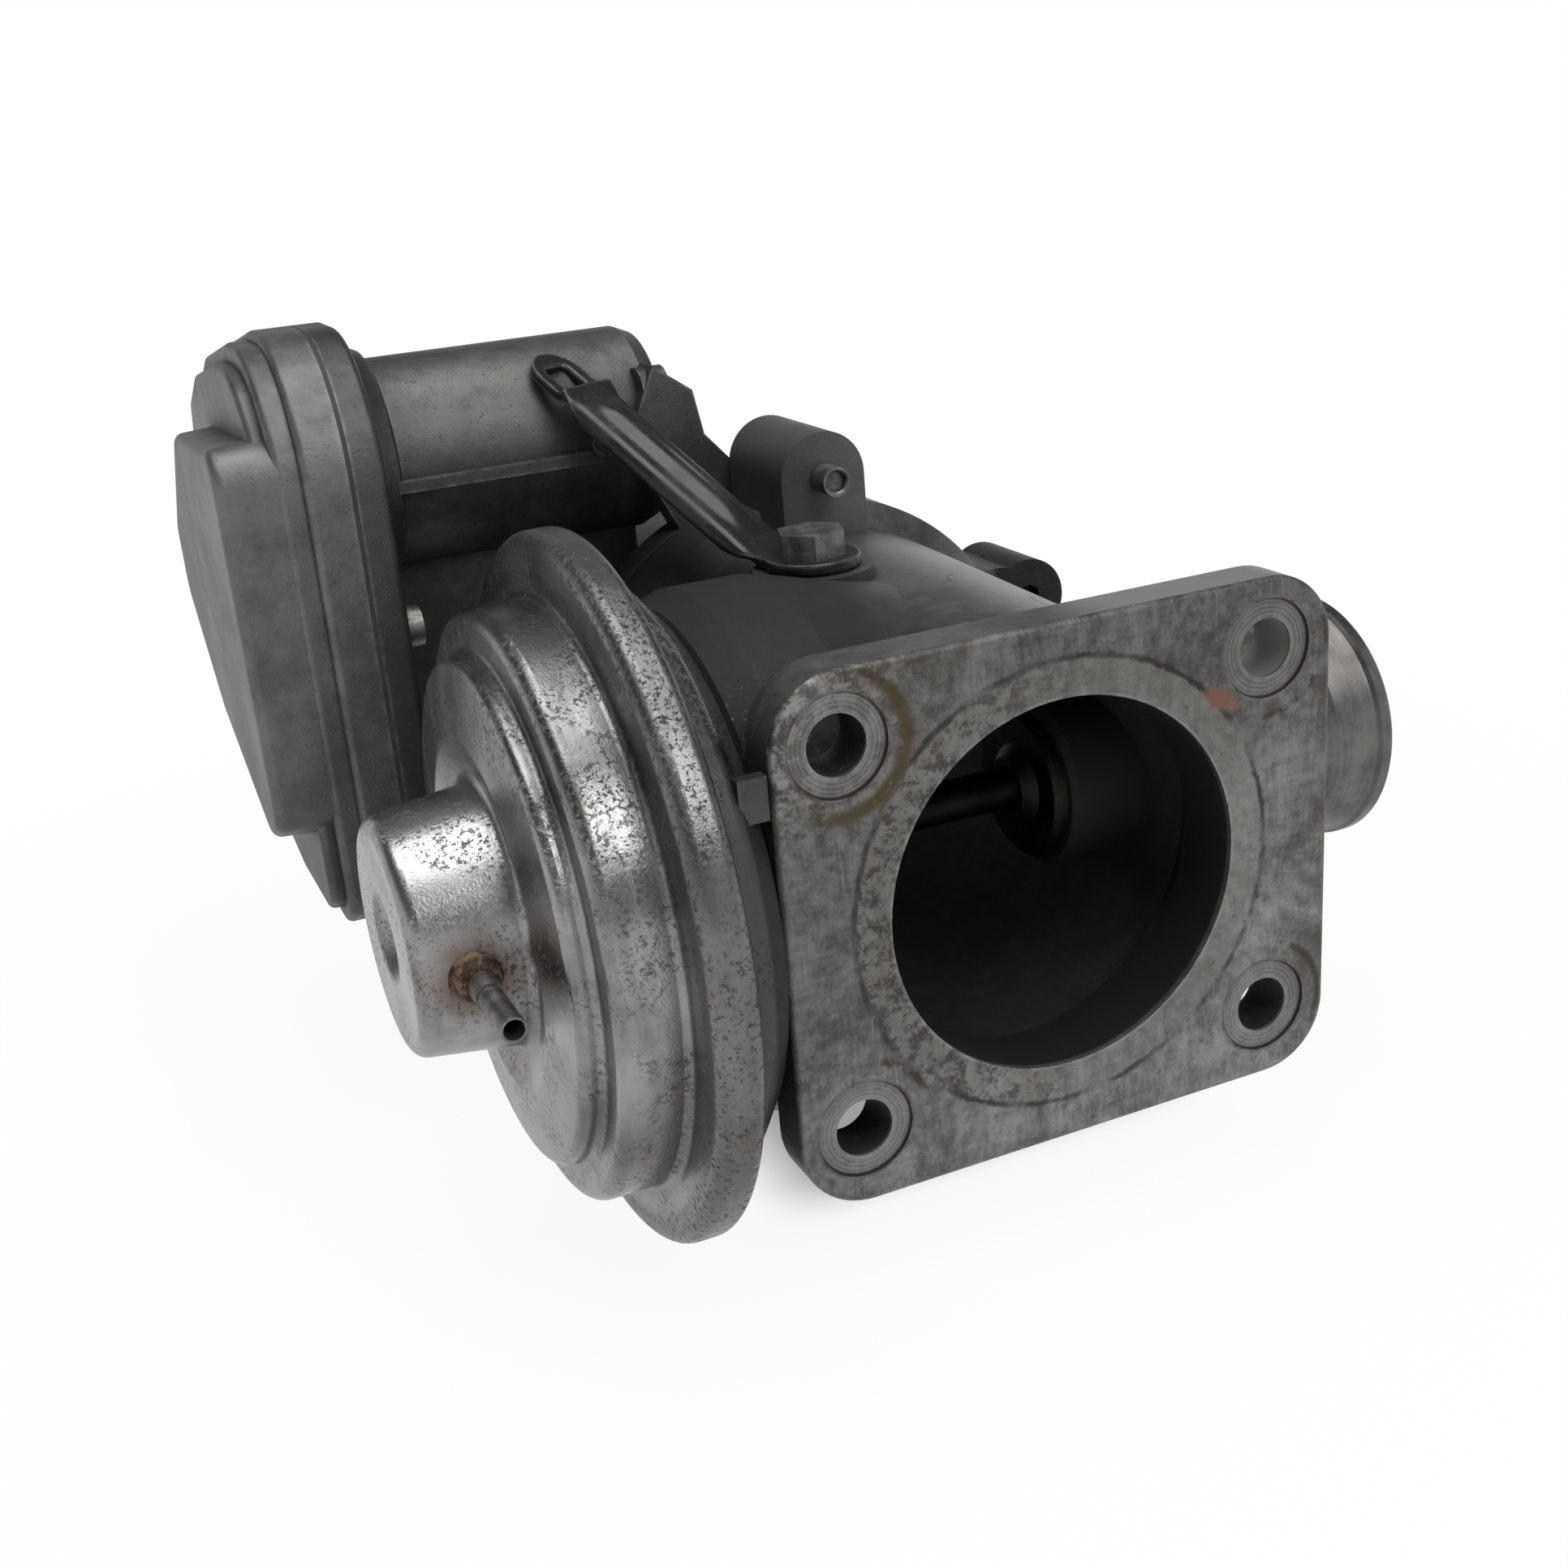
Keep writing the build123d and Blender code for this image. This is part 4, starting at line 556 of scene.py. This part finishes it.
def zinc_fastener(name, tint):
    """Dull zinc on screws and small turned pieces."""
    finish = Finish(name)
    cloud = finish.noise(320.0, 5.0, 0.6)
    speck = finish.noise(2600.0, 3.0).rise(0.58, 0.66)
    # painted shade with dirt: corners are darkened
    corner_dirt_and_shade = 1.0 - finish.crevice(2.5 * MM).rise(0.3, 0.95)
    dark = tuple(0.5 * c for c in tint)
    colour = finish.mix(cloud.rise(0.35, 0.65), dark, tint)
    colour = finish.mix((speck * 0.5 + corner_dirt_and_shade * 0.7).least(0.9), colour, (0.045, 0.038, 0.030))
    relief = finish.bump(cloud - speck * 0.5, 0.06 * MM, 0.6)
    rough = 0.36 + cloud * 0.2 + corner_dirt_and_shade * 0.15
    return finish.set(Base_Color=colour, Roughness=rough, Metallic=0.95 - corner_dirt_and_shade * 0.4, Normal=relief)


def ground_steel(name, tint, roughness):
    """Turned or ground steel with fine marks round its X axis."""
    finish = Finish(name)
    marks = finish.noise(1.0, 4.0, 0.6, finish.stretch((6000.0, 80.0, 80.0)))
    cloud = finish.noise(220.0, 5.0)
    dark = tuple(0.55 * c for c in tint)
    colour = finish.mix((marks * 0.4 + cloud * 0.6).rise(0.35, 0.65), dark, tint)
    relief = finish.bump(marks, 0.02 * MM, 0.6)
    return finish.set(Base_Color=colour, Roughness=roughness + cloud * 0.15, Metallic=1.0, Normal=relief)


def black_coat():
    """Black paint on the pressed bracket, rubbed bright along its edges."""
    finish = Finish("black_coat")
    cloud = finish.noise(240.0, 5.0, 0.6)
    chip = finish.noise(1100.0, 4.0, 0.65).rise(0.63, 0.70)
    dust = finish.noise(90.0, 6.0).rise(0.45, 0.70)
    worn = edge_wear(finish, 0.9 * MM)
    colour = finish.mix(cloud, (0.006, 0.006, 0.008), (0.018, 0.018, 0.021))
    colour = finish.mix(dust * 0.12, colour, (0.10, 0.096, 0.088))
    colour = finish.mix((chip * 0.5).most(worn * 0.8), colour, (0.20, 0.195, 0.185))
    relief = finish.bump(cloud - chip * 0.4, 0.05 * MM, 0.6)
    rough = 0.22 + cloud * 0.15 + dust * 0.15
    return finish.set(Base_Color=colour, Roughness=rough, Metallic=chip * 0.6, Normal=relief)


def brazed_joint():
    """Brass braze with rust and soot."""
    finish = Finish("brazed_joint")
    cloud = finish.noise(700.0, 5.0, 0.65)
    colour = finish.mix(cloud.rise(0.4, 0.6), (0.050, 0.032, 0.022), (0.20, 0.135, 0.085))
    relief = finish.bump(cloud, 0.25 * MM, 0.8)
    return finish.set(Base_Color=colour, Roughness=0.5 + cloud * 0.3, Metallic=0.6, Normal=relief)


def moulded(name, tint, roughness):
    """Plastic, rubber or a coat of soot with a fine matt texture."""
    finish = Finish(name)
    grain = finish.noise(3000.0, 2.0)
    cloud = finish.noise(160.0, 5.0)
    dark = tuple(0.6 * c for c in tint)
    colour = finish.mix(cloud.rise(0.3, 0.7), dark, tint)
    relief = finish.bump(grain, 0.03 * MM, 0.6)
    return finish.set(Base_Color=colour, Roughness=roughness + cloud * 0.1, Normal=relief)


plating = pitted_plating()
fastener_zinc = zinc_fastener("fastener_zinc", (0.27, 0.262, 0.245))
tube_zinc = zinc_fastener("tube_zinc", (0.25, 0.240, 0.228))
bright_steel = ground_steel("bright_steel", (0.42, 0.41, 0.40), 0.28)
spring_wire = ground_steel("spring_wire", (0.40, 0.40, 0.39), 0.35)
by_node = {
    "valve_housing": valve_casting(),
    "throttle_housing": throttle_casting(),
    "gear_cover": cover_casting(),
    "valve_disc": ground_steel("valve_scorched", (0.060, 0.054, 0.046), 0.45),
    "valve_stem": ground_steel("stem_soot", (0.024, 0.022, 0.019), 0.45),
    "gas_inlet": ground_steel("inlet_steel", (0.185, 0.178, 0.168), 0.34),
}
by_slot = {
    "plated_steel": plating,
    "fastener_steel": fastener_zinc,
    "bearing_steel": bright_steel,
    "heat_stained_steel": moulded("valve_soot", (0.010, 0.0095, 0.010), 0.65),
    "spring_steel": spring_wire,
    "tube_steel": tube_zinc,
    "braze": brazed_joint(),
    "black_paint": black_coat(),
    "seal_rubber": moulded("sealing_rubber", (0.035, 0.035, 0.036), 0.6),
    "black_plastic": moulded("cap_plastic", (0.035, 0.035, 0.037), 0.45),
    "gear_plastic": moulded("gear_plastic", (0.70, 0.68, 0.60), 0.45),
    "motor_steel": bright_steel,
    "flap_aluminium": ground_steel("flap_sheet", (0.58, 0.58, 0.57), 0.32),
}
slot_of = {entry["node"]: entry["material_slot"] for entry in frame["record"]["subparts"]}
for name, piece in nodes.items():
    finish = by_node.get(name) or by_slot[slot_of[name]]
    piece.data.materials.clear()
    piece.data.materials.append(finish)


# ---------------------------------------------------------------- pieces made here
def ramp(value, low, high):
    """0 below low, 1 above high and smooth between."""
    share = min(1.0, max(0.0, (value - low) / (high - low)))
    return share * share * (3.0 - 2.0 * share)


def plain_object(name, points, faces, finish):
    """Mesh object at the origin with its place in its mesh."""
    mesh = bpy.data.meshes.new(name)
    mesh.from_pydata(points, [], faces)
    mesh.materials.append(finish)
    for face in mesh.polygons:
        face.use_smooth = True
    piece = bpy.data.objects.new(name, mesh)
    bpy.context.scene.collection.objects.link(piece)
    return piece


def bracket_half_width(run):
    """Half of the arm's width at a run from the bolt, all in mm."""
    eye = sqrt(max(0.0, eye_radius**2 - run * run))
    if run < 0:
        return max(least_half_width, eye)
    arm = arm_half_width + (tab_half_width - arm_half_width) * ramp(run, fold_run - 1.0, fold_run + 1.5)
    width = max(eye, arm)
    if run > tab_centre_run:
        width = min(width, sqrt(max(0.0, tab_half_width**2 - (run - tab_centre_run) ** 2)))
    return max(least_half_width, width)


def bracket_rise(run):
    """Height of the arm's top above the bolt seat at a run from the bolt, all in mm."""
    slope = arm_rise / (arm_end_run - arm_bend_run)
    start = arm_bend_run - arm_bend
    if run < start:
        rise = 0.0
    elif run < arm_bend_run + arm_bend:
        rise = slope * (run - start) ** 2 / (4.0 * arm_bend)
    else:
        rise = slope * (run - arm_bend_run)
    lip = ramp(run, fold_run - 2.2, fold_run - 0.6)
    past_lip = ramp(run, fold_run + 0.2, fold_run + 1.0) * fold_drop
    return rise + fold_lip * (lip - past_lip)


def pressed_bracket(finish):
    """Black pressed arm: flat eye, ridged slope with turned-down edges, fold and slotted end tab."""
    along = Vector((cos(bracket_bearing), sin(bracket_bearing), 0.0))
    side = Vector((sin(bracket_bearing), -cos(bracket_bearing), 0.0))
    seat = Vector((bolt_x, bolt_y, bolt_seat_z))
    step = 0.75
    runs = [-eye_radius * cos(0.5 * pi * i / 10) for i in range(10)]
    runs += [step * i for i in range(int(tab_centre_run / step))]
    runs += [tab_centre_run + tab_half_width * sin(0.5 * pi * i / 9) for i in range(10)]
    # shares of the half width, each with its drop at the edge and its lift at the ridge
    columns = (
        (-1.0, 3.4, 0.0),
        (-0.95, 1.7, 0.0),
        (-0.86, 0.5, 0.0),
        (-0.70, 0.0, 0.0),
        (-0.48, 0.0, 0.0),
        (-0.34, 0.0, 0.45),
        (-0.18, 0.0, 1.25),
    )
    columns += ((0.0, 0.0, 1.5),) + tuple((-share, drop, lift) for share, drop, lift in reversed(columns))
    points = []
    for run in runs:
        width = bracket_half_width(run)
        drop_share = 0.0
        if run < fold_run:
            drop_share = ramp(run, 6.0, 15.0) * (1.0 - ramp(run, fold_run - 4.0, fold_run))
        ridge_share = ramp(run, 10.0, 19.0) * (1.0 - ramp(run, fold_run - 9.0, fold_run - 2.0))
        for share, drop, lift in columns:
            height = bracket_rise(run) - drop * drop_share + lift * ridge_share
            points.append(seat + (along * run + side * (share * width)) * MM + Vector((0, 0, height * MM)))
    faces = []
    last = len(columns) - 1
    for i in range(len(runs) - 1):
        slotted = slot_start_run < runs[i] and runs[i + 1] < slot_end_run
        for j in range(last):
            inside = abs(columns[j][0] + columns[j + 1][0]) < 2 * slot_width_share
            if not (slotted and inside):
                start = i * (last + 1) + j
                faces.append((start, start + 1, start + last + 2, start + last + 1))
    piece = plain_object("bracket_arm", points, faces, finish)
    wall = piece.modifiers.new("wall", "SOLIDIFY")
    wall.thickness = arm_sheet
    wall.offset = -1.0
    smooth = piece.modifiers.new("smooth", "SUBSURF")
    smooth.levels = 1
    smooth.render_levels = 1
    return piece


def case_rib(finish):
    """Casting rib between the gear case and the body, under the motor barrel."""
    left, right = rib_x
    points = []
    for x in (left, right):
        for z, half in ((rib_bottom_z, rib_bottom_half), (rib_top_z, rib_top_half)):
            points += [(x, rib_y - half, z), (x, rib_y + half, z)]
    faces = [(0, 2, 3, 1), (4, 5, 7, 6), (0, 1, 5, 4), (2, 6, 7, 3), (0, 4, 6, 2), (1, 3, 7, 5)]
    piece = plain_object("case_rib", points, faces, finish)
    for face in piece.data.polygons:
        face.use_smooth = False
    edge = piece.modifiers.new("edge", "BEVEL")
    edge.width = rib_edge
    edge.segments = 3
    return piece


def pin_core(finish):
    """Recessed core in the end of the lug's pin."""
    low, high = (Vector(corner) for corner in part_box("lug_pin"))
    centre = (low + high) / 2
    sides = 32
    points = []
    for y in (low.y + pin_recess, low.y + pin_recess + pin_core_length):
        for i in range(sides):
            turn = 2 * pi * i / sides
            points.append((centre.x + pin_core_radius * cos(turn), y, centre.z + pin_core_radius * sin(turn)))
    faces = [(i, sides + i, sides + (i + 1) % sides, (i + 1) % sides) for i in range(sides)]
    faces += [tuple(range(sides)), tuple(reversed(range(sides, 2 * sides)))]
    piece = plain_object("pin_core", points, faces, finish)
    for face in piece.data.polygons:
        face.use_smooth = len(face.vertices) == 4
    return piece


def springy_copy(name, finish):
    """Merged copy of a packed spring, in the given finish."""
    mesh = nodes[name].data.copy()
    work = bmesh.new()
    work.from_mesh(mesh)
    bmesh.ops.remove_doubles(work, verts=work.verts, dist=0.001 * MM)
    work.to_mesh(mesh)
    work.free()
    mesh.materials.clear()
    mesh.materials.append(finish)
    piece = bpy.data.objects.new(name + "_coil", mesh)
    bpy.context.scene.collection.objects.link(piece)
    return piece


core = pin_core(fastener_zinc)
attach(core, "housing")
coil = springy_copy("actuator_spring", spring_wire)
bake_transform(coil)
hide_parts("actuator_spring")
arm = pressed_bracket(by_slot["black_paint"])
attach(arm, "housing")
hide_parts("support_bracket")
rib = case_rib(by_node["throttle_housing"])
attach(rib, "housing")


# ---------------------------------------------------------------- floor and light
def pale_world():
    """Studio surroundings: white walls up to the height of the horizon band and a dimmer ceiling."""
    world = bpy.data.worlds.new("pale_world")
    bpy.context.scene.world = world
    world.use_nodes = True
    tree = world.node_tree
    place = tree.nodes.new("ShaderNodeTexCoord")
    split = tree.nodes.new("ShaderNodeSeparateXYZ")
    band = tree.nodes.new("ShaderNodeValToRGB")
    tree.links.new(place.outputs["Generated"], split.inputs[0])
    tree.links.new(split.outputs["Z"], band.inputs[0])
    tree.links.new(band.outputs[0], tree.nodes["Background"].inputs["Color"])
    band.color_ramp.elements[0].position = wall_height
    band.color_ramp.elements[0].color = (1.0, 1.0, 1.0, 1.0)
    band.color_ramp.elements[1].position = ceiling_height
    band.color_ramp.elements[1].color = (*ceiling_tone, 1.0)


def pale_floor():
    """White floor with a painted shadow under the duct, the object's soft shadow and plain white further
    away.
    """
    finish = Finish("pale_floor")
    tree = finish.tree
    away = ((finish.x - middle.x) ** 2.0 + (finish.y - middle.y) ** 2.0).root()
    share = away.rise(0.10, 0.32) * (1.0 - floor_glow) + floor_glow
    # painted shadow: the floor's glow is lowered in a patch under the duct
    under = finish.x.abs().rise(44.0 * MM, 26.0 * MM) * finish.region(y=(18, 34))
    under = under * finish.region(y=(150, 120))
    share = share * (1.0 - under * 0.7)
    finish.set(Base_Color=(0.92, 0.92, 0.92), Roughness=0.9)
    path = tree.nodes.new("ShaderNodeLightPath")
    seen = Value(finish, path.outputs["Is Camera Ray"])
    seen = seen.most(Value(finish, path.outputs["Is Glossy Ray"]))
    seen = seen.most(Value(finish, path.outputs["Is Transmission Ray"]))
    glow = tree.nodes.new("ShaderNodeEmission")
    glow.inputs["Color"].default_value = (1.0, 1.0, 1.0, 1.0)
    mix = tree.nodes.new("ShaderNodeMixShader")
    finish.feed(mix.inputs["Fac"], seen * share)
    tree.links.new(finish.shader.outputs[0], mix.inputs[1])
    tree.links.new(glow.outputs[0], mix.inputs[2])
    tree.links.new(mix.outputs[0], tree.nodes["Material Output"].inputs["Surface"])
    half = floor_half_width
    level = cad_low.z - floor_gap
    mesh = bpy.data.meshes.new("floor")
    corners = [(-half, -half, level), (half, -half, level), (half, half, level), (-half, half, level)]
    mesh.from_pydata(corners, [], [(0, 1, 2, 3)])
    mesh.materials.append(finish.material)
    floor = bpy.data.objects.new("floor", mesh)
    bpy.context.scene.collection.objects.link(floor)


def lamp(name, place, target, size, power):
    """Square area lamp aimed at a target."""
    data = bpy.data.lights.new(name, "AREA")
    data.shape = "SQUARE"
    data.size = size
    data.energy = power
    light = bpy.data.objects.new(name, data)
    light.location = place
    light.rotation_mode = "QUATERNION"
    light.rotation_quaternion = (Vector(target) - Vector(place)).to_track_quat("-Z", "Y")
    bpy.context.scene.collection.objects.link(light)


middle = (cad_low + cad_high) / 2
wall_height = 0.12
ceiling_height = 0.42
ceiling_tone = (0.122, 0.124, 0.130)
floor_glow = 0.93
floor_half_width = 6.0
floor_gap = 0.5 * MM
pale_world()
pale_floor()
lamp("overhead", (-0.10, 0.05, 1.30), middle, 1.00, 12.0)
lamp("front_high", (0.18, -0.56, 0.67), middle, 0.40, 3.2)


# ---------------------------------------------------------------- camera
camera_place = Vector((-132.07, -214.11, 112.57)) * MM
camera_heading = radians(67.45)
camera_dip = radians(20.52)
camera_roll = radians(-4.876)
camera_lens = 43.02
camera_sensor = 36.0

camera_data = bpy.data.cameras.new("camera")
camera_data.sensor_width = camera_sensor
camera_data.lens = camera_lens
camera_data.clip_start = 0.01
camera = bpy.data.objects.new("camera", camera_data)
camera.location = camera_place
forward = Vector(
    (
        cos(camera_heading) * cos(camera_dip),
        sin(camera_heading) * cos(camera_dip),
        -sin(camera_dip),
    )
)
camera.rotation_mode = "QUATERNION"
camera.rotation_quaternion = forward.to_track_quat("-Z", "Y") @ Quaternion((0, 0, 1), camera_roll)
bpy.context.scene.collection.objects.link(camera)
bpy.context.scene.camera = camera
bpy.context.scene.view_settings.view_transform = "Standard"
